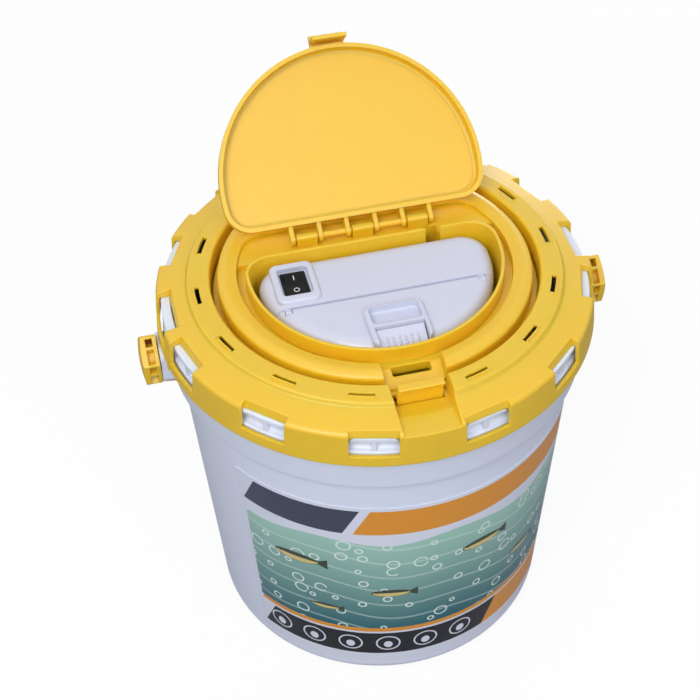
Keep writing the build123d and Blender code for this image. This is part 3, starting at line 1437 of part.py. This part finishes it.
def boss_pockets(x0, x1):
    """The open pockets round the hub, with ribs left between them."""
    space = block(x0, x1, -BIG, 4.0, -BIG, BOSS_TOP - SIDE_PLATE) - rod_x(HUB_R, x0 - 1, x1 + 1, 0, 0)
    for turn in BOSS_RIBS:
        space -= Rot(turn, 0, 0) * block(x0 - 1, x1 + 1, -BIG, 0, -LADDER_RIB / 2, LADDER_RIB / 2)
    return space


def ladder_pockets(half_t):
    """Pockets on both faces of the handle, with thin ribs left between them."""
    inner = bail_half_width() + SIDE_PLATE
    outer = bail_half_width() + HANDLE_W - SIDE_PLATE
    rib = math.degrees(LADDER_RIB / (bail_half_width() + HANDLE_W / 2))
    count = int((90.0 - GRIP_ANGLE) / LADDER_PITCH)
    start = BOSS_TAIL + LADDER_RIB
    pitch = (arm_straight() - start) / ARM_POCKETS
    cuts = []
    for side in (-1, 1):
        for low, high in ((WEB_T / 2, half_t + 1), (-half_t - 1, -WEB_T / 2)):
            for step in range(count):
                middle = 180.0 + side * (GRIP_ANGLE + (step + 0.5) * LADDER_PITCH)
                piece = sector(inner, outer, low, high, middle, LADDER_PITCH - rib)
                cuts.append(Pos(0, arm_straight(), 0) * piece)
            for step in range(ARM_POCKETS):
                y0 = start + step * pitch
                cuts.append(block(side * inner, side * outer, y0, y0 + pitch - LADDER_RIB, low, high))
    return Compound(children=cuts)


# ------------------------------------------------------------------ write every sub-part
well, bridge, deck, crown = split_lid(whole_lid())
save("bucket_shell", make_bucket())
save("foam_liner", make_liner())
save("front_label", make_label())
save("snap_ring", make_ring())
save("gasket_seat", make_gasket_seat())
save("ring_catch", make_catch())
save("lid_gasket", make_lid_gasket())
save("lid_hinge_pin", make_rear_pin())
save("flip_lid", crown)
save("lid_deck", deck)
save("lid_bridge", bridge)
save("pump_well", well)
save("hatch_cover", make_hatch())
save("hatch_rim", make_hatch_rim())
save("hatch_arms", make_hatch_arms())
save("bail_handle", make_handle())
save("unit_cover", make_cover())
save("battery_door", make_door())
save("door_latch", make_latch())
save("unit_tub", make_tub())
save("case_gasket", make_case_gasket())
save("case_screws", make_case_screws())
save("battery_left", make_cell(-1))
save("battery_right", make_cell(1))
save("contact_springs", make_contact_springs())
save("bridge_contact", make_bridge_contact())
save("switch_body", make_switch_body())
save("switch_rocker", make_rocker())
save("switch_terminals", make_terminals())
save("pump_motor", make_motor())
save("motor_shaft", make_rotor())
save("pump_rod", make_rod())
save("rubber_bell", make_bell())
save("pump_bracket", make_bracket())
save("bracket_pads", make_pads())
save("pump_head", make_head())
save("head_cover", make_head_cover())
save("head_screws", make_head_screws())
save("flap_valves", make_flaps())
save("air_tube", make_tube())
save("outlet_barb", make_barb())
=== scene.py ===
import json
import math

import bmesh
import bpy
from mathutils import Matrix, Vector


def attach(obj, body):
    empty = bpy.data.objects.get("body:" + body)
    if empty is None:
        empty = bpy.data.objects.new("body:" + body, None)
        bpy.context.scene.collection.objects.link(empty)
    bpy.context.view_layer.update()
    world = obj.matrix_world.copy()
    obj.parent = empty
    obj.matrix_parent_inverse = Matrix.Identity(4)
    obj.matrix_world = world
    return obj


# Aerated bait bucket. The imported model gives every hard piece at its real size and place, in metres.
# The sections follow the object from the pail up to the pump unit, then the room it stands in.
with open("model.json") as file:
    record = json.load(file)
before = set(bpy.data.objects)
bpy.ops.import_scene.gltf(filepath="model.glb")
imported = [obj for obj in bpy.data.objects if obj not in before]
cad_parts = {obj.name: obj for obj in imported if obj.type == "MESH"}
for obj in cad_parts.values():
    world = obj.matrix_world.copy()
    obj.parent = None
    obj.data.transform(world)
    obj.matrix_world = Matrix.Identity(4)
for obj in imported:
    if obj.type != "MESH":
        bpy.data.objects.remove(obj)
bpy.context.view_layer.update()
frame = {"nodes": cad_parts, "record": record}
parts = frame["nodes"]

# ---------------------------------------------------------------------- pail
# A deep pail of white high-density polyethylene, injection moulded in one shot. The plastic is a
# little waxy, so light sinks in by a millimetre or two, and the mould leaves a satin skin.

# Noise lies mostly between these two values. The dye drifts over about 70 mm, and the gloss varies
# over about 11 mm, by a few hundredths of roughness either way.
noise_low, noise_high = 0.3, 0.7
drift_per_m, patch_per_m = 14.0, 90.0
smoother, duller = 0.03, 0.04
grain_strength = 0.25
edge_samples = 8
coat_roughness = 0.1


def colour(text):
    """An sRGB hex value as linear red, green, blue and alpha."""
    shares = [int(text[i:i + 2], 16) / 255 for i in (1, 3, 5)]
    return [c / 12.92 if c <= 0.04045 else ((c + 0.055) / 1.055) ** 2.4 for c in shares] + [1.0]


def node(tree, kind, settings=None):
    """Add one shader node. A setting that is a node or a socket is linked, and any other is set."""
    made = tree.nodes.new("ShaderNode" + kind)
    for name, value in (settings or {}).items():
        if isinstance(value, bpy.types.Node):
            value = value.outputs[0]
        if isinstance(value, bpy.types.NodeSocket):
            tree.links.new(value, made.inputs[name])
        elif isinstance(name, str) and hasattr(made, name):
            setattr(made, name, value)
        else:
            made.inputs[name].default_value = value
    return made


def blank(name):
    """A new material with an empty node tree."""
    material = bpy.data.materials.new(name)
    material.use_nodes = True
    material.node_tree.nodes.clear()
    return material


def moulded(name, tints, roughness, ior, grain_mm, grain_depth_mm, edge_mm, wax=0.0, wax_mm=1.0,
            reach=(1.0, 1.0, 1.0), gloss=0.0, shine=0.5):
    """A moulded plastic: slow colour drift, patchy gloss, mould grain and softly rounded edges."""
    material = blank(name)
    tree = material.node_tree
    place = node(tree, "TexCoord").outputs["Object"]
    drift = node(tree, "TexNoise", {"Vector": place, "Scale": drift_per_m, "Detail": 2.0})
    patch = node(tree, "TexNoise", {"Vector": place, "Scale": patch_per_m, "Detail": 4.0})
    grain = node(tree, "TexNoise", {"Vector": place, "Scale": 1000.0 / grain_mm, "Detail": 1.0})
    tint = node(tree, "Mix", {"data_type": "RGBA", 0: drift, 6: colour(tints[0]), 7: colour(tints[1])})
    rough = node(tree, "MapRange", {
        "Value": patch, "From Min": noise_low, "From Max": noise_high,
        "To Min": roughness - smoother, "To Max": roughness + duller,
    })
    relief = {"Height": grain, "Strength": grain_strength, "Distance": grain_depth_mm / 1000}
    if edge_mm:
        relief["Normal"] = node(tree, "Bevel", {"samples": edge_samples, "Radius": edge_mm / 1000})
    bump = node(tree, "Bump", relief)
    skin = node(tree, "BsdfPrincipled", {
        "Base Color": tint.outputs[2], "Roughness": rough, "Normal": bump, "IOR": ior,
        "Subsurface Weight": wax, "Subsurface Scale": wax_mm / 1000, "Subsurface Radius": reach,
        "Coat Weight": gloss, "Coat Roughness": coat_roughness, "Specular IOR Level": shine,
    })
    node(tree, "OutputMaterial", {"Surface": skin})
    return material


def dress(material, *names):
    """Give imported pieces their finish."""
    for name in names:
        parts[name].data.materials.clear()
        parts[name].data.materials.append(material)


# The grain of this and every other plastic is drawn about 1 mm wide, coarser than the real 0.3 mm,
# so that it shows at this distance.
hdpe_white = moulded("moulded HDPE white", ("#E6EDFE", "#E2E9FB"), roughness=0.36, ior=1.54,
                     grain_mm=1.4, grain_depth_mm=0.003, edge_mm=0.6, wax=0.15, wax_mm=2.0)
dress(hdpe_white, "bucket_shell")

# ---------------------------------------------------------------------- foam liner
# A cup of expanded bead foam dropped into the pail. The beads press flat against the mould, so the
# skin shows a fine net of joints between grains about three millimetres wide.
bead_mm = 3.0
joint_share, joint_strength, joint_depth = 0.12, 0.6, 0.0003
bead_foam = blank("moulded bead foam")
tree = bead_foam.node_tree
place = node(tree, "TexCoord").outputs["Object"]
beads = node(tree, "TexVoronoi", {
    "feature": "DISTANCE_TO_EDGE", "Vector": place, "Scale": 1000.0 / bead_mm,
})
joint = node(tree, "MapRange", {"Value": beads, "From Min": 0.0, "From Max": joint_share})
tint = node(tree, "Mix", {"data_type": "RGBA", 0: joint, 6: colour("#C4C6CC"), 7: colour("#E6E7EA")})
bump = node(tree, "Bump", {"Height": joint, "Strength": joint_strength, "Distance": joint_depth})
skin = node(tree, "BsdfPrincipled", {
    "Base Color": tint.outputs[2], "Normal": bump, "Roughness": 0.85, "IOR": 1.5,
})
node(tree, "OutputMaterial", {"Surface": skin})
dress(bead_foam, "foam_liner")

# ---------------------------------------------------------------------- label
# A polypropylene film, printed in flat inks and moulded into the pail's front: slate and amber
# bars, a panel of water with bubbles and minnows, and a dark strip with round signs at its foot.
# Across the film u runs round the pail in millimetres, and v is the height above the base.
label_r = 114.0
side = 112.0
paper, amber, slate, black = "#E2E7F6", "#E8992A", "#3F4458", "#121317"
deep, pale, froth, back, belly = "#1B6470", "#A9D6C4", "#E4F4EE", "#3B4637", "#E0CB7E"

# Slanted bars, cut off at the film's two sides. Where one meets the right side it is drawn past it
# by a bleed, so that no gap shows.
slant, bleed = 0.45, 8.0
bars = [
    # left, right, foot, head, ink
    (-side, -48.0, 154.0, 177.0, slate),
    (-42.0, side + bleed, 154.0, 177.0, amber),
    (-side, side, 48.0, 52.0, amber),
    (-side, side, 22.0, 46.0, black),
    (46.0, side + bleed, 22.0, 46.0, amber),
]

# The panel of water, the waves along its top, and the pale streaks that run across it.
water_foot, water_head, brim = 52.0, 150.0, 5.0
wave_high, wave_per_mm = 2.6, 0.075
streak_per_mm, streak_slant, streak_edge, streak_ink = 0.42, 0.05, 0.93, 0.35

# One bubble to a cell at most. The sizes are shares of a cell, and each cell has its own random
# share, which sets its bubble's size. The cells with the smallest shares stay empty.
bubble_cell, bubble_scatter = 15.0, 0.9
bubble_r, bubble_line, bubble_least = 0.3, 0.035, 0.35

# Minnows: the middle's u and v, and the length. The tail's places are in half lengths from the
# middle, the belly's line is in half depths, and the eye's place is in lengths.
minnows = [
    (-78.0, 118.0, 30.0),
    (-20.0, 92.0, 25.0),
    (38.0, 122.0, 28.0),
    (76.0, 84.0, 22.0),
    (-62.0, 72.0, 19.0),
]
length_per_half_depth = 7.0
tail_root, tail_end, tail_flare = 0.72, 1.32, 1.9
belly_share, belly_line = 0.93, 0.05
eye_back, eye_up, length_per_eye = 0.37, 0.02, 34.0

# Round signs: a thin rim with a drop in it.
sign_v, sign_r, sign_gap, sign_first, sign_count = 34.0, 8.6, 25.0, -97.0, 6
rim_in, rim_out = 0.82, 0.95
drop_down, drop_w, drop_h = 1.4, 0.34, 0.42

film = blank("printed film")
tree = film.node_tree
axes = node(tree, "SeparateXYZ", {0: node(tree, "TexCoord").outputs["Object"]}).outputs
towards = node(tree, "Math", {"operation": "MULTIPLY", 0: axes["Y"], 1: -1.0})
turn = node(tree, "Math", {"operation": "ARCTAN2", 0: axes["X"], 1: towards})
u = node(tree, "Math", {"operation": "MULTIPLY", 0: turn, 1: label_r})
v = node(tree, "Math", {"operation": "MULTIPLY", 0: axes["Z"], 1: 1000.0})
flat = node(tree, "CombineXYZ", {"X": u, "Y": v})


def within(value, low, high):
    """A mask that is one where a value lies between two limits, and nought elsewhere."""
    return node(tree, "Math", {"operation": "COMPARE", 0: value, 1: (low + high) / 2, 2: (high - low) / 2})


def overlap(first, *others):
    """The mask of what several masks share."""
    shared = first
    for mask in others:
        shared = node(tree, "Math", {"operation": "MULTIPLY", 0: shared, 1: mask})
    return shared


def ink(under, text, mask):
    """Print an ink over what is there, where the mask is one."""
    return node(tree, "Mix", {"data_type": "RGBA", 0: mask, 6: under, 7: colour(text)}).outputs[2]


def oval(centre, radii):
    """A point's distance from an oval's middle in units of its radii, and its place in the same units."""
    away = node(tree, "VectorMath", {"operation": "SUBTRACT", 0: flat, 1: (*centre, 0.0)})
    local = node(tree, "VectorMath", {"operation": "DIVIDE", 0: away, 1: (*radii, 1.0)})
    return node(tree, "VectorMath", {"operation": "LENGTH", 0: local}).outputs["Value"], local


# The water grows paler towards its wavy top.
swell = node(tree, "Math", {"operation": "MULTIPLY", 0: u, 1: wave_per_mm})
swell = node(tree, "Math", {"operation": "SINE", 0: swell})
swell = node(tree, "Math", {"operation": "MULTIPLY", 0: swell, 1: wave_high})
level = node(tree, "Math", {"operation": "SUBTRACT", 0: v, 1: swell})
depth = node(tree, "MapRange", {"Value": level, "From Min": water_foot, "From Max": water_head})
water = node(tree, "Mix", {"data_type": "RGBA", 0: depth, 6: colour(deep), 7: colour(pale)}).outputs[2]

across = node(tree, "Math", {"operation": "MULTIPLY", 0: u, 1: streak_slant})
streak = node(tree, "Math", {"operation": "MULTIPLY", 0: level, 1: streak_per_mm})
streak = node(tree, "Math", {"operation": "ADD", 0: streak, 1: across})
streak = node(tree, "Math", {"operation": "SINE", 0: streak})
streak = node(tree, "Math", {"operation": "GREATER_THAN", 0: streak, 1: streak_edge})
streak = node(tree, "Math", {"operation": "MULTIPLY", 0: streak, 1: streak_ink})
water = ink(water, froth, streak)

bubbles = node(tree, "TexVoronoi", {
    "voronoi_dimensions": "2D", "Vector": flat, "Scale": 1.0 / bubble_cell, "Randomness": bubble_scatter,
}).outputs
share = node(tree, "SeparateColor", {0: bubbles["Color"]})
size = node(tree, "Math", {"operation": "MULTIPLY", 0: share, 1: bubble_r})
ring = node(tree, "Math", {"operation": "COMPARE", 0: bubbles["Distance"], 1: size, 2: bubble_line})
filled = node(tree, "Math", {"operation": "GREATER_THAN", 0: share, 1: bubble_least})
water = ink(water, froth, overlap(ring, filled))

for centre_u, centre_v, length in minnows:
    trunk, local = oval((centre_u, centre_v), (length / 2, length / length_per_half_depth))
    along = node(tree, "SeparateXYZ", {0: local}).outputs
    flare = node(tree, "Math", {"operation": "SUBTRACT", 0: along["X"], 1: tail_root})
    flare = node(tree, "Math", {"operation": "MULTIPLY", 0: flare, 1: tail_flare})
    aside = node(tree, "Math", {"operation": "ABSOLUTE", 0: along["Y"]})
    fan = node(tree, "Math", {"operation": "LESS_THAN", 0: aside, 1: flare})
    short = node(tree, "Math", {"operation": "LESS_THAN", 0: along["X"], 1: tail_end})
    body = node(tree, "Math", {"operation": "LESS_THAN", 0: trunk, 1: 1.0})
    body = node(tree, "Math", {"operation": "MAXIMUM", 0: body, 1: overlap(fan, short)})
    water = ink(water, back, body)
    inner = node(tree, "Math", {"operation": "LESS_THAN", 0: trunk, 1: belly_share})
    lower = node(tree, "Math", {"operation": "LESS_THAN", 0: along["Y"], 1: belly_line})
    water = ink(water, belly, overlap(inner, lower))
    eye_spot = (centre_u - length * eye_back, centre_v + length * eye_up)
    eye, _ = oval(eye_spot, (length / length_per_eye, length / length_per_eye))
    pupil = node(tree, "Math", {"operation": "LESS_THAN", 0: eye, 1: 1.0})
    water = ink(water, black, pupil)

# The page: paper, then the water, the bars and the signs.
above = node(tree, "Math", {"operation": "GREATER_THAN", 0: v, 1: water_foot})
below = node(tree, "Math", {"operation": "LESS_THAN", 0: level, 1: water_head - brim})
panel = overlap(within(u, -side, side), above, below)
page = node(tree, "Mix", {"data_type": "RGBA", 0: panel, 6: colour(paper), 7: water}).outputs[2]
for left, right, foot, head, text in bars:
    lean = node(tree, "Math", {"operation": "SUBTRACT", 0: v, 1: foot})
    lean = node(tree, "Math", {"operation": "MULTIPLY", 0: lean, 1: slant})
    lean = node(tree, "Math", {"operation": "SUBTRACT", 0: u, 1: lean})
    inside = overlap(within(lean, left, right), within(v, foot, head), within(u, -side, side))
    page = ink(page, text, inside)
for step in range(sign_count):
    middle = sign_first + step * sign_gap
    away, _ = oval((middle, sign_v), (sign_r, sign_r))
    page = ink(page, paper, within(away, rim_in, rim_out))
    away, _ = oval((middle, sign_v - drop_down), (sign_r * drop_w, sign_r * drop_h))
    drop = node(tree, "Math", {"operation": "LESS_THAN", 0: away, 1: 1.0})
    page = ink(page, paper, drop)

# The film is smooth and a little glossier than the pail, in patches about 17 mm wide.
film_patch_per_mm = 0.06
film_smooth, film_dull = 0.28, 0.36
patch = node(tree, "TexNoise", {"Vector": flat, "Scale": film_patch_per_mm, "Detail": 3.0})
rough = node(tree, "MapRange", {
    "Value": patch, "From Min": noise_low, "From Max": noise_high,
    "To Min": film_smooth, "To Max": film_dull,
})
skin = node(tree, "BsdfPrincipled", {
    "Base Color": page, "Roughness": rough, "IOR": 1.49, "Coat Weight": 0.15, "Coat Roughness": 0.2,
})
node(tree, "OutputMaterial", {"Surface": skin})
dress(film, "front_label")

# ---------------------------------------------------------------------- snap ring and catch
# The big ring that snaps over the pail's rim, with its sprung catch in the front channel. It is
# moulded polypropylene in sunflower yellow. The dye is strong, so its slots, pockets and undersides
# glow orange, and the matt skin pales it where it faces the light.
pp_look = {"tints": ("#F0C61C", "#EDC116"), "roughness": 0.45, "ior": 1.49, "grain_mm": 1.2,
           "grain_depth_mm": 0.004, "wax": 0.6, "wax_mm": 4.0, "reach": (1.0, 0.6, 0.04), "shine": 1.0}
pp_yellow = moulded("moulded polypropylene yellow", edge_mm=0.6, **pp_look)
dress(pp_yellow, "snap_ring", "gasket_seat", "ring_catch")

# ---------------------------------------------------------------------- handle
# The bail: one strip of the same yellow polypropylene, moulded with a boss at each end. It is
# sprung over the pail's two ears and turns on them.
dress(pp_yellow, "bail_handle")

# ---------------------------------------------------------------------- flip lid
# One yellow moulding with a rounded crown, a recessed deck and a deep well, closed on a die cut
# rubber gasket, and hinged on a length of zinc plated wire.
metal_patch_per_m = 300.0
metal_smoother, metal_duller = 0.06, 0.08
metal_grain_strength, metal_grain_depth = 0.15, 0.00001

dress(pp_yellow, "flip_lid", "lid_deck", "lid_bridge", "pump_well")

# The rubber scatters light, which gives a dull, even black.
rubber_black = moulded("moulded rubber black", ("#242424", "#1D1D1D"), roughness=0.62, ior=1.52,
                       grain_mm=0.9, grain_depth_mm=0.008, edge_mm=0.3)
dress(rubber_black, "lid_gasket")


def metal(name, text, roughness, grain_mm):
    """A plated or rolled metal, with gloss in patches about 3 mm wide and a faint grain."""
    material = blank(name)
    tree = material.node_tree
    place = node(tree, "TexCoord").outputs["Object"]
    patch = node(tree, "TexNoise", {"Vector": place, "Scale": metal_patch_per_m, "Detail": 3.0})
    grain = node(tree, "TexNoise", {"Vector": place, "Scale": 1000.0 / grain_mm, "Detail": 0.0})
    rough = node(tree, "MapRange", {
        "Value": patch, "From Min": noise_low, "From Max": noise_high,
        "To Min": roughness - metal_smoother, "To Max": roughness + metal_duller,
    })
    bump = node(tree, "Bump", {
        "Height": grain, "Strength": metal_grain_strength, "Distance": metal_grain_depth,
    })
    skin = node(tree, "BsdfPrincipled", {
        "Base Color": colour(text), "Roughness": rough, "Normal": bump, "Metallic": 1.0,
    })
    node(tree, "OutputMaterial", {"Surface": skin})
    return material


# Zinc plating gives a soft grey shine. Its grain is drawn coarser than the real one, to show.
steel = metal("zinc plated steel", "#C4C6CA", roughness=0.32, grain_mm=0.8)
dress(steel, "lid_hinge_pin")

# ---------------------------------------------------------------------- hatch
# The small cover over the pump: a flat panel, a thin rim with a front hook, and six arms that clip
# into the deck's blocks. The panel and its rim are one smooth moulding, so their shared finish has
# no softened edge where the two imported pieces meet.
pp_flush = moulded("moulded polypropylene yellow, flush", edge_mm=0.0, **pp_look)
dress(pp_flush, "hatch_cover", "hatch_rim")
dress(pp_yellow, "hatch_arms")

# ---------------------------------------------------------------------- pump unit case
# A sealed case of white ABS. Its mould is polished, so the rounded edges catch a bright gleam, and
# the case is screwed together on a rubber gasket.
abs_white = moulded("moulded ABS white", ("#D2D5E6", "#CED2E4"), roughness=0.3, ior=1.53,
                    grain_mm=1.4, grain_depth_mm=0.001, edge_mm=0.6, wax=0.05, gloss=0.2)
dress(abs_white, "unit_cover", "battery_door", "door_latch", "unit_tub", "outlet_barb")
dress(rubber_black, "case_gasket")
dress(steel, "case_screws")

# ---------------------------------------------------------------------- switch
# A standard snap-in rocker switch of black nylon, whose skin is smooth but dim, with blades of
# warm, shiny rolled brass below. The signs for on and off are pad printed in matt white ink on the
# rocker's two slopes.
nylon_black = moulded("moulded nylon black", ("#0B0C0E", "#08090B"), roughness=0.28, ior=1.53,
                      grain_mm=1.0, grain_depth_mm=0.002, edge_mm=0.25, shine=0.2)
dress(nylon_black, "switch_body", "switch_rocker")
brass = metal("rolled brass strip", "#D9B566", roughness=0.3, grain_mm=0.6)
dress(brass, "switch_terminals")
pad_print = moulded("pad printed white ink", ("#E6E7EA", "#DCDDE2"), roughness=0.5, ior=1.5,
                    grain_mm=0.8, grain_depth_mm=0.002, edge_mm=0.0)

# Sizes in millimetres. The slopes start at the rocker's middle, above its axis.
rocker_rest = math.radians(8.0)
slope_run, slope_rise, slope_low = 8.2, 1.0, 2.2
sign_out, print_t = 4.6, 0.12
line_w, line_l, ring_r = 0.52, 3.3, 1.75
end_steps, ring_steps = 6, 32
joints = frame["record"]["behaviour"]["joints"]
rocker_spot = next(joint["pos_m"] for joint in joints if joint["name"] == "rocker_tilt")


def rocker_sign(name, outer, inner, way):
    """A thin printed sign, solid or with a hole, on the rocker's slope towards +Y (1) or -Y (-1)."""
    slope = math.atan2(slope_rise, slope_run)
    height = slope_low + sign_out * slope_rise / slope_run
    lie = (Matrix.Translation(rocker_spot) @ Matrix.Rotation(rocker_rest, 4, "X") @ Matrix.Scale(0.001, 4)
           @ Matrix.Translation((0, way * sign_out, height)) @ Matrix.Rotation(way * slope, 4, "X"))
    build = bmesh.new()
    loops = [loop for loop in (outer, inner) if loop]
    low, high = [[[build.verts.new(lie @ Vector((x, y, z))) for x, y in loop] for loop in loops]
                 for z in (-print_t / 2, print_t / 2)]
    for i in range(len(outer)):
        j = (i + 1) % len(outer)
        build.faces.new((low[0][i], low[0][j], high[0][j], high[0][i]))
        if inner:
            build.faces.new((low[1][j], low[1][i], high[1][i], high[1][j]))
            build.faces.new((high[0][i], high[0][j], high[1][j], high[1][i]))
            build.faces.new((low[0][j], low[0][i], low[1][i], low[1][j]))
    if not inner:
        build.faces.new(high[0])
        build.faces.new(low[0][::-1])
    mesh = bpy.data.meshes.new(name)
    build.to_mesh(mesh)
    build.free()
    mesh.materials.append(pad_print)
    sign = bpy.data.objects.new(name, mesh)
    bpy.context.scene.collection.objects.link(sign)
    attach(sign, "rocker")


def circle(radius):
    """Points round a circle."""
    turns = [2 * math.pi * step / ring_steps for step in range(ring_steps)]
    return [(radius * math.cos(a), radius * math.sin(a)) for a in turns]


bar = []
for end in (1, -1):
    for step in range(end_steps + 1):
        angle = math.pi * step / end_steps + (0 if end > 0 else math.pi)
        end_y = end * (line_l - line_w) / 2
        bar.append((line_w / 2 * math.cos(angle), end_y + line_w / 2 * math.sin(angle)))
rocker_sign("rocker_on_sign", bar, None, 1)
rocker_sign("rocker_off_sign", circle(ring_r), circle(ring_r - line_w), -1)

# ---------------------------------------------------------------------- cells and contacts
# Two D cells in steel jackets, lacquered dark blue-grey with a glassy gleam. They stand on springy
# plated steel sleeves, and a strip of brass under the door joins them.
jacket = moulded("lacquered steel jacket", ("#22303B", "#1D2933"), roughness=0.25, ior=1.5,
                 grain_mm=1.0, grain_depth_mm=0.002, edge_mm=0.3, gloss=0.4)
dress(jacket, "battery_left", "battery_right")
dress(steel, "contact_springs")
dress(brass, "bridge_contact")

# ---------------------------------------------------------------------- motor and pump
# A small can motor turns a crank that works a rubber bell under the pump head. The head and rod
# are nylon of a dull grey, and a cloudy vinyl tube carries the air to the outlet.
dress(steel, "pump_motor", "motor_shaft", "pump_bracket", "head_screws")
nylon_grey = moulded("moulded nylon grey", ("#2A2C31", "#24262B"), roughness=0.45, ior=1.53,
                     grain_mm=1.0, grain_depth_mm=0.004, edge_mm=0.25)
dress(nylon_grey, "pump_rod", "pump_head", "head_cover")
dress(rubber_black, "rubber_bell", "bracket_pads", "flap_valves")
vinyl_milky = moulded("extruded vinyl milky", ("#D5D8D4", "#CDD0CC"), roughness=0.3, ior=1.54,
                      grain_mm=1.0, grain_depth_mm=0.003, edge_mm=0.2, wax=0.3, wax_mm=2.0)
dress(vinyl_milky, "air_tube")

# ---------------------------------------------------------------------- floor
# A sheet of matt paper, pale grey, so that it throws only a little light up at the object. The
# camera sees it lit up to white, and it keeps the object's shadow.
floor_half, floor_drop, lit_share = 9.0, 0.0005, 0.88
corners = [(x * floor_half, y * floor_half, 0) for x, y in ((-1, -1), (1, -1), (1, 1), (-1, 1))]
floor_mesh = bpy.data.meshes.new("floor")
floor_mesh.from_pydata(corners, [], [(0, 1, 2, 3)])
floor = bpy.data.objects.new("floor", floor_mesh)
bpy.context.scene.collection.objects.link(floor)
floor.location.z = -floor_drop
matt_paper = blank("matt paper")
tree = matt_paper.node_tree
seen = node(tree, "LightPath").outputs["Is Camera Ray"]
tint = node(tree, "Mix", {"data_type": "RGBA", 0: seen, 6: colour("#96969C"), 7: colour("#FFFFFF")})
matt = node(tree, "BsdfDiffuse", {"Color": tint.outputs[2]})
glow = node(tree, "Emission", {"Color": (1, 1, 1, 1), "Strength": 1.0})
lift = node(tree, "Math", {"operation": "MULTIPLY", 0: seen, 1: lit_share})
both = node(tree, "MixShader", {0: lift, 1: matt, 2: glow})
node(tree, "OutputMaterial", {"Surface": both})
floor_mesh.materials.append(matt_paper)

# ---------------------------------------------------------------------- light
# A cool sky, brighter overhead, a large soft lamp above and to the left of the viewer, a weaker one
# in front, and a low one behind that keeps the far wall as clear as the near one.
sky_low, sky_high, sky_top = 0.46, 0.66, 0.8
lamp_aim = (0, 0, 0.2)
world = bpy.data.worlds.new("studio")
bpy.context.scene.world = world
world.use_nodes = True
tree = world.node_tree
tree.nodes.clear()
path = node(tree, "LightPath").outputs
seen = node(tree, "Math", {"operation": "MAXIMUM", 0: path["Is Camera Ray"], 1: path["Is Glossy Ray"]})
clear = node(tree, "Math", {"operation": "MAXIMUM", 0: seen, 1: path["Is Transmission Ray"]})
up = node(tree, "SeparateXYZ", {0: node(tree, "TexCoord").outputs["Generated"]}).outputs["Z"]
fade = node(tree, "MapRange", {
    "Value": up, "From Min": 0.0, "From Max": sky_top, "To Min": sky_low, "To Max": sky_high,
})
sky = node(tree, "Background", {"Color": (0.93, 0.95, 1.0, 1.0), "Strength": fade})
white = node(tree, "Background", {"Color": (1, 1, 1, 1), "Strength": 1.0})
both = node(tree, "MixShader", {0: clear, 1: sky, 2: white})
node(tree, "OutputWorld", {"Surface": both})


def lamp(name, spot, power, size):
    """A square soft lamp that points at the upper half of the pail."""
    light = bpy.data.lights.new(name, "AREA")
    light.energy = power
    light.size = size
    holder = bpy.data.objects.new(name, light)
    bpy.context.scene.collection.objects.link(holder)
    holder.location = spot
    aim = Vector(lamp_aim) - Vector(spot)
    holder.rotation_euler = aim.to_track_quat("-Z", "Y").to_euler()


lamp("key lamp", (-0.8, -1.15, 1.8), power=19.0, size=0.9)
lamp("front lamp", (0.35, -1.7, 1.3), power=7.0, size=0.8)
lamp("rear lamp", (0.9, 1.6, 0.22), power=9.0, size=0.4)

# ---------------------------------------------------------------------- camera
# A short telephoto, above the front of the object and a little to its left. It looks 13.6 degrees
# to the right of +Y and 44.8 degrees down.
spot = (-0.1567, -0.6478, 0.8494)
heading = math.radians(13.6)
pitch = math.radians(44.751)
roll = -0.0157
camera_data = bpy.data.cameras.new("camera")
camera_data.sensor_width = 36.0
camera_data.lens = 77.87
camera_data.shift_x = -0.0372
camera_data.clip_start = 0.01
camera = bpy.data.objects.new("camera", camera_data)
bpy.context.scene.collection.objects.link(camera)
ahead = Vector((
    math.cos(pitch) * math.sin(heading),
    math.cos(pitch) * math.cos(heading),
    -math.sin(pitch),
))
level = Vector((math.cos(heading), -math.sin(heading), 0))
right = level * math.cos(roll) + level.cross(ahead) * math.sin(roll)
turned = Matrix((right, right.cross(ahead), -ahead)).transposed().to_4x4()
camera.matrix_world = Matrix.Translation(spot) @ turned
bpy.context.scene.camera = camera
bpy.context.scene.view_settings.view_transform = "Standard"
